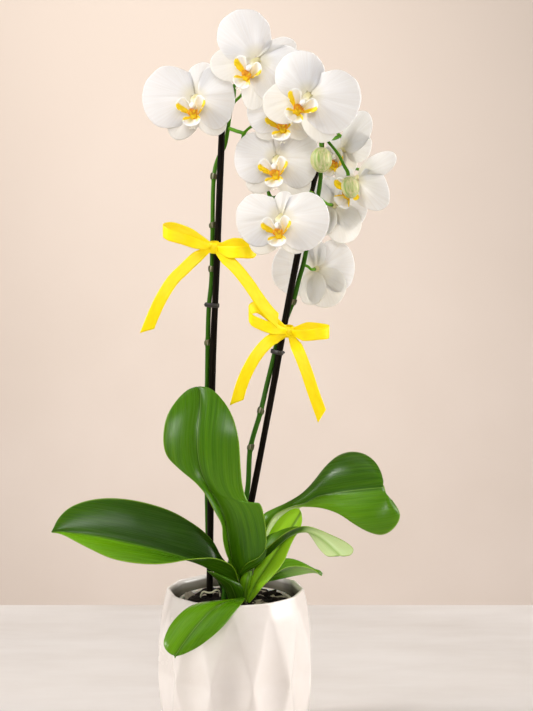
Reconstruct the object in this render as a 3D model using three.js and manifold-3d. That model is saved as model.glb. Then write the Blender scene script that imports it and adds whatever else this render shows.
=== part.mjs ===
// A moth orchid with two flowering stems in a scooped ceramic pot.
// Millimetres, +Z up. The origin is the centre of the pot's base; -Y is the front.
import * as THREE from 'three';
import { mergeVertices } from 'three/addons/utils/BufferGeometryUtils.js';
import Module from 'manifold-3d';

const wasm = await Module();
wasm.setup();

// Driving dimensions.
const clearance = 0.3; // left between pieces that touch
const pot = {
  height: 150, // rim above the table
  waistRadius: 73.5, // widest ridge, half way up
  rimRadius: 64.5,
  baseRadius: 60,
  wall: 4.5,
  floor: 8,
  scoops: 12,
  turn: -1.5, // degrees, one scoop almost faces the front
  scoopDepth: 2.6, // below the flat chord between two ridges
};
const liner = { rimRadius: 54, baseRadius: 40, height: 132, wall: 1.2, lip: 2.2 };
const bark = { surface: 136, chunks: 16 };
const crown = { x: 8, y: -4, foot: 104, top: 150, radius: 8, sheath: 2.6 };
const stake = { radius: 3, foot: 60 };
const stem = { radius: 2.4, tip: 1.7, pedicel: 1.3, foot: 108 };
const tepal = { thickness: 0.8, spread: 66, base: 1.9 };
const column = { radius: 2.9, length: 10, core: 4.4 };
const leafThickness = 1.6;
const ribbon = { width: 11, thickness: 0.7, band: 9 };

const colours = {
  glaze: 0xede4dc,
  liner: 0xcfc8bc,
  bark: 0x2a1f17,
  root: 0xc9c2a4,
  leaf: 0x3f7a16,
  stem: 0x3b8a1c,
  stake: 0x15120c,
  petal: 0xfaf8f4,
  lip: 0xffd90f,
  bud: 0xb5c57a,
  ribbon: 0xfed803,
};

const vector = (x, y, z) => new THREE.Vector3(x, y, z);
const points = (list) => list.map((p) => vector(...p));
const radians = THREE.MathUtils.degToRad;
const lerp = THREE.MathUtils.lerp;

// ---------------------------------------------------------------- solids

function geometryOf(vertices, faces) {
  const geometry = new THREE.BufferGeometry();
  const flat = vertices.flatMap((v) => [v.x, v.y, v.z]);
  geometry.setAttribute('position', new THREE.Float32BufferAttribute(flat, 3));
  geometry.setIndex(faces.flat());
  return geometry;
}

function solidOf(geometry) {
  const bare = geometry.clone();
  bare.deleteAttribute('normal');
  bare.deleteAttribute('uv');
  const merged = mergeVertices(bare, 1e-4);
  const mesh = new wasm.Mesh({
    numProp: 3,
    vertProperties: new Float32Array(merged.attributes.position.array),
    triVerts: new Uint32Array(merged.index.array),
  });
  return new wasm.Manifold(mesh);
}

function geometryFromSolid(solid) {
  const mesh = solid.getMesh();
  const geometry = new THREE.BufferGeometry();
  const position = new Float32Array(mesh.vertProperties);
  geometry.setAttribute('position', new THREE.BufferAttribute(position, 3));
  geometry.setIndex(new THREE.BufferAttribute(new Uint32Array(mesh.triVerts), 1));
  return geometry;
}

function fuse(geometries) {
  const solids = geometries.map(solidOf);
  return solids.reduce((whole, piece) => whole.add(piece));
}

function meshOf(name, geometry, colour, roughness = 0.6) {
  const shaded = geometry.clone();
  shaded.computeVertexNormals();
  const material = new THREE.MeshStandardMaterial({ color: colour, roughness, metalness: 0 });
  const mesh = new THREE.Mesh(shaded, material);
  mesh.name = name;
  return mesh;
}

// A closed skin over rings of points; each ring has the same number of points.
function ringSolid(rings) {
  const sides = rings[0].length;
  const last = rings.length - 1;
  const vertices = rings.flat();
  const faces = [];
  for (let i = 0; i < last; i += 1) {
    for (let j = 0; j < sides; j += 1) {
      const k = (j + 1) % sides;
      const [a, b] = [i * sides + j, i * sides + k];
      const [c, d] = [(i + 1) * sides + k, (i + 1) * sides + j];
      faces.push([a, b, c], [a, c, d]);
    }
  }
  for (let j = 1; j < sides - 1; j += 1) {
    faces.push([0, j + 1, j]);
    faces.push([last * sides, last * sides + j, last * sides + j + 1]);
  }
  return geometryOf(vertices, faces);
}

// A round bar along a curve, its radius a function of the way along it.
function bar(curve, radiusAt, sides, steps) {
  const frames = curve.computeFrenetFrames(steps, false);
  const rings = [];
  for (let i = 0; i <= steps; i += 1) {
    const centre = curve.getPointAt(i / steps);
    const radius = radiusAt(i / steps);
    const ring = [];
    for (let j = 0; j < sides; j += 1) {
      const turn = (2 * Math.PI * j) / sides;
      const reach = frames.normals[i].clone().multiplyScalar(radius * Math.cos(turn));
      reach.addScaledVector(frames.binormals[i], radius * Math.sin(turn));
      ring.push(centre.clone().add(reach));
    }
    rings.push(ring);
  }
  return ringSolid(rings);
}

// The unit normal of a grid of points, from its neighbours along both directions.
function gridNormal(rows, i, j) {
  const lastRow = rows.length - 1;
  const lastColumn = rows[0].length - 1;
  const ahead = rows[Math.min(i + 1, lastRow)][j].clone();
  ahead.sub(rows[Math.max(i - 1, 0)][j]);
  const across = rows[i][Math.min(j + 1, lastColumn)].clone();
  across.sub(rows[i][Math.max(j - 1, 0)]);
  return ahead.cross(across).normalize();
}

// A thin curved plate over a grid of points, with both faces split the same way.
function plate(rows, thickness) {
  const [height, width] = [rows.length, rows[0].length];
  const vertices = [];
  for (const side of [0.5, -0.5]) {
    for (let i = 0; i < height; i += 1) {
      for (let j = 0; j < width; j += 1) {
        const offset = gridNormal(rows, i, j).multiplyScalar(side * thickness);
        vertices.push(rows[i][j].clone().add(offset));
      }
    }
  }
  const top = (i, j) => i * width + j;
  const under = (i, j) => height * width + i * width + j;
  const faces = [];
  const wall = (a, b, c, d) => faces.push([a, c, b], [b, c, d]);
  for (let i = 0; i < height - 1; i += 1) {
    for (let j = 0; j < width - 1; j += 1) {
      faces.push([top(i, j), top(i + 1, j), top(i + 1, j + 1)]);
      faces.push([top(i, j), top(i + 1, j + 1), top(i, j + 1)]);
      faces.push([under(i, j), under(i + 1, j + 1), under(i + 1, j)]);
      faces.push([under(i, j), under(i, j + 1), under(i + 1, j + 1)]);
    }
    wall(top(i, 0), top(i + 1, 0), under(i, 0), under(i + 1, 0));
    const edge = width - 1;
    wall(top(i + 1, edge), top(i, edge), under(i + 1, edge), under(i, edge));
  }
  for (let j = 0; j < width - 1; j += 1) {
    const end = height - 1;
    wall(top(0, j + 1), top(0, j), under(0, j + 1), under(0, j));
    wall(top(end, j), top(end, j + 1), under(end, j), under(end, j + 1));
  }
  return geometryOf(vertices, faces);
}

// ---------------------------------------------------------------- pot

// Half of the scoop's share of its sector at a height: a pointed oval from rim to base.
function scoopShare(height) {
  const away = Math.abs(2 * height / pot.height - 1);
  return lerp(0.97, 0.05, away ** 1.15);
}

function ridgeRadius(height) {
  const away = 2 * height / pot.height - 1;
  const end = away > 0 ? pot.rimRadius : pot.baseRadius;
  return lerp(pot.waistRadius, end, Math.abs(away) ** 2);
}

// One ring of the scooped wall: three points a sector, in the scoop and on its two edges.
function scoopRing(height) {
  const sector = (2 * Math.PI) / pot.scoops;
  const share = scoopShare(height);
  const radius = ridgeRadius(height);
  const ring = [];
  for (let k = 0; k < pot.scoops; k += 1) {
    const middle = radians(pot.turn - 90) + k * sector;
    const edge = (share * sector) / 2;
    const chord = radius * Math.cos(edge);
    const hollow = chord - pot.scoopDepth * share ** 2;
    for (const [angle, r] of [[middle - edge, radius], [middle, hollow], [middle + edge, radius]]) {
      ring.push(vector(r * Math.cos(angle), r * Math.sin(angle), height));
    }
  }
  return ring;
}

function makePot() {
  const heights = [0, 8, 28, 50, 75, 100, 122, 142, pot.height];
  const rings = heights.map(scoopRing);
  const inner = (scale, height) => scoopRing(pot.height).map((p) => {
    return vector(p.x * scale, p.y * scale, height);
  });
  const mouth = 1 - pot.wall / pot.rimRadius;
  rings.push(inner(mouth, pot.height));
  rings.push(inner(mouth, pot.height - 30));
  rings.push(inner(mouth * 0.93, pot.floor));
  return meshOf('pot', ringSolid(rings), colours.glaze, 0.15);
}

// A thin straight-sided nursery pot with a rolled rim and drain holes.
function makeLiner() {
  const { rimRadius, baseRadius, height, wall, lip } = liner;
  const foot = pot.floor + clearance;
  const top = foot + height;
  const profile = [
    [0, foot], [baseRadius, foot], [rimRadius - lip, top - 4], [rimRadius, top - 4],
    [rimRadius, top], [rimRadius - lip - wall, top], [baseRadius - wall, foot + wall], [0, foot + wall],
  ];
  const outline = profile.map(([r, z]) => new THREE.Vector2(r, z));
  const cup = new THREE.LatheGeometry(outline, 18);
  cup.rotateX(Math.PI / 2);
  let body = solidOf(cup);
  for (let k = 0; k < 5; k += 1) {
    const drain = new THREE.CylinderGeometry(4, 4, 10, 6);
    drain.rotateX(Math.PI / 2);
    const angle = (2 * Math.PI * k) / 5;
    drain.translate(24 * Math.cos(angle), 24 * Math.sin(angle), foot);
    body = body.subtract(solidOf(drain));
  }
  return meshOf('liner_pot', geometryFromSolid(body), colours.liner, 0.5);
}

// A repeatable stream of numbers from 0 to 1.
function seededStream(seed) {
  let state = seed;
  return () => {
    state = (state * 1664525 + 1013904223) % 4294967296;
    return state / 4294967296;
  };
}

// Chunks of bark heaped over a packed core, with plain holes where stems and stakes stand.
function makeBark(holes) {
  const random = seededStream(7);
  const foot = pot.floor + 2 * clearance + liner.wall;
  const slope = (liner.rimRadius - liner.lip - liner.baseRadius) / liner.height;
  const innerRadius = (z) => {
    return liner.baseRadius + slope * (z - foot) - liner.wall - clearance - 0.6;
  };
  const outline = [
    [0, foot], [innerRadius(foot), foot], [innerRadius(bark.surface - 6), bark.surface - 6], [0, bark.surface],
  ].map(([r, z]) => new THREE.Vector2(r, z));
  const core = new THREE.LatheGeometry(outline, 16);
  core.rotateX(Math.PI / 2);
  let body = solidOf(core);
  for (let k = 0; k < bark.chunks; k += 1) {
    const size = lerp(5.5, 9, random());
    const chunk = new THREE.BoxGeometry(2 * size, 1.3 * size, size);
    chunk.rotateX((random() - 0.5) * 1.4);
    chunk.rotateY((random() - 0.5) * 1.4);
    chunk.rotateZ(random() * Math.PI);
    const reach = (innerRadius(bark.surface - 8) - 1.25 * size) * Math.sqrt((k + 0.5) / bark.chunks);
    const angle = k * 2.39996;
    chunk.translate(reach * Math.cos(angle), reach * Math.sin(angle), bark.surface - 3 - 0.05 * reach);
    body = body.add(solidOf(chunk));
  }
  for (const hole of holes) {
    body = body.subtract(hole);
  }
  return meshOf('bark', geometryFromSolid(body), colours.bark, 0.95);
}

// ---------------------------------------------------------------- stakes and crown

const stakeRoutes = {
  left: points([
    [-26.5, 9.5, stake.foot], [-24.5, 8, 140], [-20.6, 6, 362], [-17.2, 4, 437], [-14.2, 2, 508],
    [-11, 0, 583],
  ]),
  right: points([
    [-20, -2, stake.foot], [-4.5, 0, 139], [14.7, 3, 231], [33, 6, 326], [49.5, 8, 418], [67.3, 10, 507],
    [77.6, 11, 549],
  ]),
};

function stakeBar(route) {
  return bar(new THREE.CatmullRomCurve3(route), () => stake.radius, 8, 9);
}

// ---------------------------------------------------------------- leaves

// Each leaf: the midrib's route, the way its upper face looks at the base, middle and tip,
// the half widths left and right of the midrib and their folds in degrees at even stops
// from base to tip, where the tip starts to round, and how far its margins run past it.
const leaves = {
  leaf_1: {
    midrib: [[8, -9, 154], [8, -15, 181], [8, -21, 212], [-4, -25, 238], [-18.2, -27, 252],
      [-30.4, -28, 270], [-33.6, -27, 292], [-32.8, -21, 318], [-34.6, -10, 338]],
    facing: [[0.1, -1, 0.1], [0.1, -1, 0.3], [0, -1, 0.25]],
    left: [4, 20, 19, 17, 35, 30], right: [4, 19, 22, 38, 40, 36], round: 0.76, lobes: [0, 0],
    foldLeft: [45, 30, 20, 10], foldRight: [45, 35, 22, 8],
  },
  leaf_2: {
    midrib: [[-1, -15, 151], [-11, -20, 165], [-27, -28, 180], [-53, -34, 189], [-77, -41, 196],
      [-109, -47, 204], [-141.7, -50, 212], [-163.6, -50, 215]],
    facing: [[-0.5, -0.6, 0.6], [0, -0.75, 0.68], [0, -0.75, 0.68]],
    left: [4, 18, 29, 35, 32, 22], right: [4, 20, 37, 46, 45, 35], round: 0.62, lobes: [0, 0],
    foldLeft: [75, 60, 46, 44, 42], foldRight: [45, 38, 33, 30, 25],
  },
  leaf_3: {
    midrib: [[14, 7, 153], [26, 8, 188], [42, 8, 215], [59, 4, 231], [88, -7, 241], [115, -17, 248],
      [136, -26, 251]],
    facing: [[-0.4, -0.6, 0.6], [-0.1, -0.85, 0.5], [0.2, -0.9, 0.3]],
    left: [7, 9, 7, 15, 39, 40], right: [7, 8, 7, 9, 37, 56], round: 0.86, lobes: [4, 34],
    foldLeft: [35, 20, -5, -15], foldRight: [60, 60, 10, -10],
  },
  leaf_4: {
    midrib: [[4, -22, 145], [-3, -42, 153], [-13, -62, 151.5], [-24, -84, 147], [-35, -98, 138],
      [-43.6, -108, 127], [-49.4, -114, 119.6]],
    facing: [[0, -0.2, 1], [0, -0.5, 1], [-0.2, -1, 0.5]],
    left: [7, 9, 14, 21, 25, 24], right: [7, 9, 15, 24, 31, 32], round: 0.76, lobes: [0, 0],
    foldLeft: [30, 15, 8, 5], foldRight: [30, 15, 8, 5],
  },
  leaf_5: {
    midrib: [[15, -3, 152], [18, -5, 168], [25, -10, 184], [36, -17, 198], [50, -23, 207], [62, -26, 209],
      [82, -32, 203], [96, -37, 194], [103, -40, 186]],
    facing: [[-0.5, -0.5, 0.6], [0, -0.5, 0.9], [0.5, -0.9, 0.3]],
    left: [6, 8, 9, 8, 10, 11], right: [6, 10, 12, 14, 18, 15], round: 0.8, lobes: [0, 0],
    foldLeft: [30, 15, 0], foldRight: [30, 15, 0],
  },
  leaf_6: {
    midrib: [[18, 7, 143], [35, 23, 152], [57, 36, 160], [83, 54, 150]],
    facing: [[-0.3, -0.3, 1], [0, -0.5, 1], [0, -0.6, 1]],
    left: [6, 11, 15, 16, 12, 8], right: [6, 11, 15, 16, 12, 8], round: 0.6, lobes: [0, 0],
    foldLeft: [30, 15, 0], foldRight: [30, 15, 0],
  },
  leaf_7: {
    midrib: [[18, -15, 145], [25, -17, 161], [37, -15, 182], [49, -11, 204], [59, -7, 223]],
    facing: [[-0.7, -0.6, 0.3], [-0.7, -0.7, 0.3], [-0.6, -0.8, 0.3]],
    left: [4, 6, 8, 9, 8, 6], right: [5, 9, 13, 14, 11, 8], round: 0.6, lobes: [0, 0],
    foldLeft: [40, 30, 10], foldRight: [40, 30, 10],
  },
};

// The value at a share of the way through evenly spaced stops.
function through(stops, t) {
  const curve = new THREE.CatmullRomCurve3(stops.map((v) => vector(v, 0, 0)));
  return curve.getPoint(t).x;
}

function tipShare(leaf, t) {
  const past = Math.max(t - leaf.round, 0) / (1 - leaf.round);
  return Math.max(Math.sqrt(1 - past ** 2.2), 0.05);
}

function leafRows(leaf, steps = 9, columns = 4) {
  const route = new THREE.CatmullRomCurve3(points(leaf.midrib));
  const looks = new THREE.CatmullRomCurve3(points(leaf.facing));
  const rows = [];
  for (let i = 0; i <= steps; i += 1) {
    const t = 1 - (1 - i / steps) ** 1.5;
    const centre = route.getPointAt(t);
    const ahead = route.getTangentAt(t);
    const side = ahead.clone().cross(looks.getPoint(t)).normalize();
    const up = side.clone().cross(ahead);
    const row = [];
    for (let j = 0; j <= columns; j += 1) {
      const across = (2 * j) / columns - 1;
      const isLeft = across < 0;
      const fold = radians(through(isLeft ? leaf.foldLeft : leaf.foldRight, t));
      const half = through(isLeft ? leaf.left : leaf.right, t) * tipShare(leaf, t);
      const reach = half * Math.abs(across);
      const past = leaf.lobes[isLeft ? 0 : 1] * Math.abs(across) * t ** 6 * tipShare(leaf, t);
      const point = centre.clone();
      point.addScaledVector(side, Math.sign(across) * reach * Math.cos(fold));
      point.addScaledVector(up, reach * Math.sin(fold) - 0.1 * reach * Math.abs(across));
      point.addScaledVector(ahead, past);
      row.push(point);
    }
    rows.push(row);
  }
  return rows;
}

// The sheath at the foot of a leaf, from the middle of the crown to the leaf's base.
function sheathBar(leaf, growth) {
  const route = new THREE.CatmullRomCurve3(points(leaf.midrib));
  const [start, ahead] = [route.getPointAt(0), route.getTangentAt(0)];
  const [neck, end] = [-4, -clearance].map((reach) => start.clone().addScaledVector(ahead, reach));
  const curve = new THREE.CatmullRomCurve3([vector(crown.x, crown.y, crown.top - 8), neck, end]);
  return bar(curve, () => crown.sheath + growth, 6, 4);
}

function crownSolid(growth) {
  const { x, y, foot, top, radius } = crown;
  const curve = new THREE.LineCurve3(vector(x, y, foot - growth), vector(x, y, top));
  const core = bar(curve, (t) => lerp(radius, radius - 2, t) + growth, 10, 2);
  return fuse([core, ...Object.values(leaves).map((leaf) => sheathBar(leaf, growth))]);
}

function makeLeaf(name) {
  const blade = plate(leafRows(leaves[name]), leafThickness);
  return meshOf(name, blade, colours.leaf, 0.35);
}

// ---------------------------------------------------------------- blooms

// Each bloom: the middle of its face, the way it looks (yaw to the right, pitch up), the
// clock angle of its lip, and for each tepal its clock angle, length, width and lean.
const blooms = {
  A: {
    at: [-36.4, -40, 602], yaw: -10, pitch: 0, lip: 188, dorsal: [22, 32, 26, 0],
    petals: [[-90, 45, 53, 0], [88, 40, 54, 0]], sepals: [[-152, 42, 28, 0], [140, 41, 27, 0]],
  },
  B: {
    at: [16.5, -64, 629], yaw: -10, pitch: 0, lip: 215, dorsal: [68, 42, 26, 0],
    petals: [[-14, 48, 50, 0], [148, 48, 44, 0]], sepals: [[-84, 38, 32, 0], [190, 44, 22, 0]],
  },
  C: {
    at: [41.1, -53, 587], yaw: -10, pitch: 0, lip: 185, dorsal: [0, 34, 24, 0],
    petals: [[-85, 38, 44, 0], [85, 28, 40, 0]], sepals: [[-140, 33, 26, 0], [140, 28, 24, 0]],
  },
  D: {
    at: [37.5, -41, 549], yaw: -7, pitch: 0, lip: 182, dorsal: [10, 22, 16, 0],
    petals: [[-90, 37, 47, 0], [94, 38, 50, 0]], sepals: [[-140, 38, 28, 0], [140, 42, 30, 0]],
  },
  E: {
    at: [41.9, -60, 497], yaw: -10, pitch: 0, lip: 192, dorsal: [12, 25, 20, 0],
    petals: [[-97, 41, 46, 0], [102, 43, 50, 0]], sepals: [[-135, 38, 28, 0], [145, 38, 28, 0]],
  },
  F: {
    at: [62.9, -90, 600], yaw: -10, pitch: 0, lip: 205, dorsal: [5, 37, 30, 0],
    petals: [[-50, 38, 44, 0], [104, 46, 53, 0]], sepals: [[-106, 40, 30, 0], [158, 42, 30, 0]],
  },
  G: {
    at: [99.5, -17, 557], yaw: -50, pitch: 5, lip: 190, dorsal: [10, 30, 22, 0],
    petals: [[-100, 24, 26, 0], [72, 42, 48, 0]], sepals: [[-140, 26, 22, 0], [150, 24, 20, 0]],
  },
  H: {
    at: [110, -40, 531], yaw: -40, pitch: -20, lip: 215, dorsal: [60, 46, 22, 0],
    petals: [[-92, 24, 24, 0], [122, 40, 44, 0]], sepals: [[-130, 24, 20, 0], [178, 28, 20, 0]],
  },
  I: {
    at: [92, 14, 507], yaw: 120, pitch: -5, lip: 180, dorsal: [0, 34, 24, 0],
    petals: [[-80, 37, 46, 0], [85, 36, 46, 0]], sepals: [[-146, 44, 34, 0], [140, 36, 26, 0]],
  },
  J: {
    at: [76, 26, 448], yaw: 155, pitch: 0, lip: 180, dorsal: [0, 28, 20, 0],
    petals: [[-80, 37, 48, 0], [92, 46, 48, 0]], sepals: [[-148, 43, 34, 0], [166, 36, 22, 0]],
  },
};

// A frame whose +Z looks out of the bloom and whose +Y is up in its face.
function bloomFrame(bloom) {
  const [yaw, pitch] = [radians(bloom.yaw), radians(bloom.pitch)];
  const out = vector(Math.sin(yaw) * Math.cos(pitch), -Math.cos(yaw) * Math.cos(pitch), Math.sin(pitch));
  const right = vector(0, 0, 1).cross(out).normalize();
  const up = out.clone().cross(right);
  const frame = new THREE.Matrix4().makeBasis(right, up, out);
  return frame.setPosition(...bloom.at);
}

// One petal or sepal: rays from its base to the edge of an oval that passes through it.
function tepalRows([clock, length, width, lean], { depth, arch, droop, wave, raySteps, radialSteps }) {
  const [a, b] = [(length - tepal.base) / 2, width / 2];
  const turn = radians(clock);
  const rows = [];
  for (let i = 0; i <= raySteps; i += 1) {
    const phi = radians(lerp(-tepal.spread, tepal.spread, i / raySteps));
    const edge = (2 * a * b ** 2 * Math.cos(phi)) / ((b * Math.cos(phi)) ** 2 + (a * Math.sin(phi)) ** 2);
    const row = [];
    for (let j = 0; j <= radialSteps; j += 1) {
      const s = lerp(0.06, 1, j / radialSteps);
      const along = tepal.base + s * edge * Math.cos(phi);
      const across = s * edge * Math.sin(phi);
      const share = along / length;
      const out = depth + Math.tan(radians(lean)) * along + arch * 4 * share * (1 - share)
        - droop * (across / b) ** 2 + wave * Math.sin(4 * phi + clock) * s ** 3;
      row.push(vector(
        along * Math.sin(turn) + across * Math.cos(turn),
        along * Math.cos(turn) - across * Math.sin(turn),
        out,
      ));
    }
    rows.push(row);
  }
  return rows;
}

const petalForm = { depth: 1.5, arch: 3, droop: 2, wave: 0.8, raySteps: 6, radialSteps: 2 };
const sepalForm = { depth: -0.2, arch: 0.6, droop: 1.4, wave: 0, raySteps: 4, radialSteps: 1 };

function columnBar() {
  const tip = column.length;
  const curve = new THREE.CatmullRomCurve3([vector(0, 0, 0), vector(0, 0.8, tip * 0.5), vector(0, -0.8, tip)]);
  return bar(curve, (t) => column.radius * lerp(1, 0.9, t), 6, 2);
}

function bloomSolid(bloom) {
  const core = new THREE.SphereGeometry(column.core, 7, 4);
  const pieces = [core];
  for (const petal of bloom.petals) {
    pieces.push(plate(tepalRows(petal, petalForm), tepal.thickness));
  }
  [bloom.dorsal, ...bloom.sepals].forEach((sepal, k) => {
    const behind = { ...sepalForm, depth: sepalForm.depth - k };
    pieces.push(plate(tepalRows(sepal, behind), tepal.thickness));
  });
  const post = columnBar();
  post.rotateZ(-radians(bloom.lip - 180));
  pieces.push(post);
  return fuse(pieces);
}

function makeBloom(letter) {
  const bloom = blooms[letter];
  const geometry = geometryFromSolid(bloomSolid(bloom));
  geometry.applyMatrix4(bloomFrame(bloom));
  return meshOf(`bloom_${letter}`, geometry, colours.petal, 0.55);
}

// The lip: a claw, a pointed middle lobe, two upright side lobes and a callus between them.
function lipSolid() {
  const claw = new THREE.CatmullRomCurve3([vector(0, -2.8, 5.8), vector(0, -5.5, 6), vector(0, -9.4, 7.4)]);
  const spine = [[-7, 5.5, 2], [-12, 8.5, 5], [-17, 9.6, 4.2], [-22, 8, 1]];
  const middle = spine.map(([y, z, half]) => [-1, 0, 1].map((x) => vector(x * half, y, z - 1.2 * Math.abs(x))));
  const pieces = [bar(claw, (t) => lerp(1.5, 2, t), 5, 1), plate(middle, 0.9)];
  for (const side of [-1, 1]) {
    const ribs = [[1.5, -8, 6.4, 2], [7, -8, 10, 5], [10, -2, 12.4, 4.4]];
    const lobe = ribs.map(([x, y, z, half]) => {
      const corner = (k) => vector(side * (x + 1.2 * k), y + 0.9 * half * k, z - 0.5 * half * k);
      const row = [-1, 1].map(corner);
      return side > 0 ? row : row.reverse();
    });
    pieces.push(plate(lobe, 0.8));
  }
  const callus = new THREE.SphereGeometry(2.3, 4, 3);
  callus.translate(0, -8, 7.6);
  pieces.push(callus);
  return fuse(pieces);
}

function makeLip(letter) {
  const bloom = blooms[letter];
  const geometry = geometryFromSolid(lipSolid());
  geometry.rotateZ(-radians(bloom.lip - 180));
  geometry.applyMatrix4(bloomFrame(bloom));
  return meshOf(`lip_${letter}`, geometry, colours.lip, 0.5);
}

// ---------------------------------------------------------------- flower spikes

// Each spike: its main stem, the side branches, where joints stand on it, and the stalk
// of each bloom or bud, from the stem by way of a few points.
const spikes = {
  left: {
    main: [[-4, 9, stem.foot], [-9, 11, 140], [-17, 14, 160], [-24.5, 13.5, 186], [-26.4, 12.5, 229],
      [-25.9, 10, 342], [-24, 7.4, 414], [-21.7, 8.4, 437], [-20.6, 7.6, 475], [-19.2, 6, 530],
      [-17.2, 7.5, 543.6], [-13.9, 8.5, 552.5], [-9.3, 8, 560.5], [-6.3, 5, 574], [-4.5, -1, 586],
      [-1.8, -10, 597.5], [0.1, -17, 606], [0.5, -24, 615]],
    branches: [[[-5.6, 2, 577], [1.7, -6, 574], [8.2, -12, 571], [7.6, -13, 565]]],
    joints: [380, 448, 488, 532],
    stalks: {
      A: [[-4.4, -2, 587], [-14, -14, 596]],
      B: [[-1.8, -11, 598], [7.6, -22, 606]],
      C: [[8.2, -12, 571], [15.3, -20, 577]],
      D: [[7.6, -13, 566], [14, -14, 558]],
    },
  },
  right: {
    main: [[-13, -9, stem.foot], [-11, -8.5, 139], [-7, -6.5, 165], [11.3, -3, 243], [14.3, 0, 283],
      [23.6, 4, 316], [29.8, 8.5, 342], [35, 10.5, 363], [39.8, 13, 383], [45.4, 14.2, 397],
      [50.3, 14.5, 409], [55.1, 13, 422], [59.3, 13, 439], [63, 11, 452], [65.8, 7, 466], [70, 3, 489],
      [76, -4, 515], [78.4, -14, 537], [78.9, -24, 560], [78.4, -36, 592], [77.5, -44, 614],
      [81, -52, 617], [83.5, -59, 598], [82.5, -64, 576], [80.8, -66, 564]],
    branches: [[[81.5, -65, 569], [86, -60, 565], [93, -50, 567]]],
    joints: [283, 316, 417],
    stalks: {
      E: [[75, -2, 511], [50, -20, 518], [38, -32, 514]],
      F: [[78.4, -38, 596], [78, -56, 600], [71, -75, 601]],
      G: [[78.8, -28, 571], [83, -12, 580], [94, -1, 572]],
      H: [[78.6, -14, 537], [88, 5, 539], [104, 4, 541]],
      I: [[76, -4, 515], [81, 0, 511]],
      J: [[63, 11, 452], [67, 12, 451]],
    },
  },
};

const buds = {
  bud_1: { spike: 'right', from: [[80.8, -66, 564]], top: [76.4, -68, 557], tip: [76.8, -70, 535],
    radius: 9.5 },
  bud_2: { spike: 'right', from: [[80.8, -66, 564], [91.7, -62, 551], [97, -60, 541]], top: [100.7, -59, 532],
    tip: [104.2, -59, 513], radius: 8 },
};

// The point behind a bloom where its stalk ends, and one further back along the same line.
function bloomBack(bloom) {
  const reach = column.core + clearance;
  const frame = bloomFrame(bloom);
  return [vector(0, 0, -reach - 8), vector(0, 0, -reach)].map((p) => p.applyMatrix4(frame));
}

function stalkBar(route) {
  return bar(new THREE.CatmullRomCurve3(route), () => stem.pedicel, 4, 6);
}

// A swollen joint on the stem at a height, with the scale leaf that wraps it.
function jointRing(curve, height) {
  let t = 0;
  while (curve.getPointAt(t).z < height) {
    t += 0.002;
  }
  const along = curve.getTangentAt(t);
  const ends = [-2.2, 3.2].map((reach) => curve.getPointAt(t).addScaledVector(along, reach));
  return bar(new THREE.LineCurve3(...ends), (s) => lerp(stem.radius + 0.9, stem.radius + 0.5, s), 6, 1);
}

function spikeSolid(side) {
  const spike = spikes[side];
  const main = new THREE.CatmullRomCurve3(points(spike.main));
  const pieces = [bar(main, (t) => lerp(stem.radius, stem.tip, t ** 2), 6, 30)];
  for (const branch of spike.branches) {
    pieces.push(bar(new THREE.CatmullRomCurve3(points(branch)), () => stem.tip, 5, 5));
  }
  for (const height of spike.joints) {
    pieces.push(jointRing(main, height));
  }
  for (const [letter, route] of Object.entries(spike.stalks)) {
    pieces.push(stalkBar([...points(route), ...bloomBack(blooms[letter])]));
  }
  for (const bud of Object.values(buds).filter((b) => b.spike === side)) {
    const top = vector(...bud.top);
    const axis = top.clone().sub(vector(...bud.tip)).normalize();
    const ends = [4, 2 * clearance].map((reach) => top.clone().addScaledVector(axis, reach));
    pieces.push(stalkBar([...points(bud.from), ...ends]));
  }
  return fuse(pieces);
}

function makeBud(name) {
  const bud = buds[name];
  const axis = new THREE.LineCurve3(vector(...bud.top), vector(...bud.tip));
  const swell = (t) => bud.radius * Math.max(Math.sqrt(1 - (2 * t - 1.05) ** 2 / 1.12), 0.12);
  return meshOf(name, bar(axis, swell, 8, 6), colours.bud, 0.5);
}

// ---------------------------------------------------------------- ties and root

// A short sleeve round a line, used for the clips and the turn of ribbon round the stems.
function sleeve(centre, axis, inner, wall, length) {
  const outline = [[inner, 0], [inner + wall, 0], [inner + wall, length], [inner, length], [inner, 0]];
  const ring = new THREE.LatheGeometry(outline.map(([r, y]) => new THREE.Vector2(r, y - length / 2)), 12);
  const turn = new THREE.Quaternion().setFromUnitVectors(vector(0, 1, 0), vector(...axis).normalize());
  ring.applyQuaternion(turn);
  ring.translate(...centre);
  return ring;
}

const clips = {
  clip_left: { centre: [-21.2, 6.4, 415], axis: [0.04, 0, 1] },
  clip_right: { centre: [38.9, 9.2, 371], axis: [0.2, 0.02, 1] },
};

function makeClip(name) {
  const { centre, axis } = clips[name];
  return meshOf(name, sleeve(centre, axis, 7, 1.6, 5), colours.stake, 0.4);
}

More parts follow.
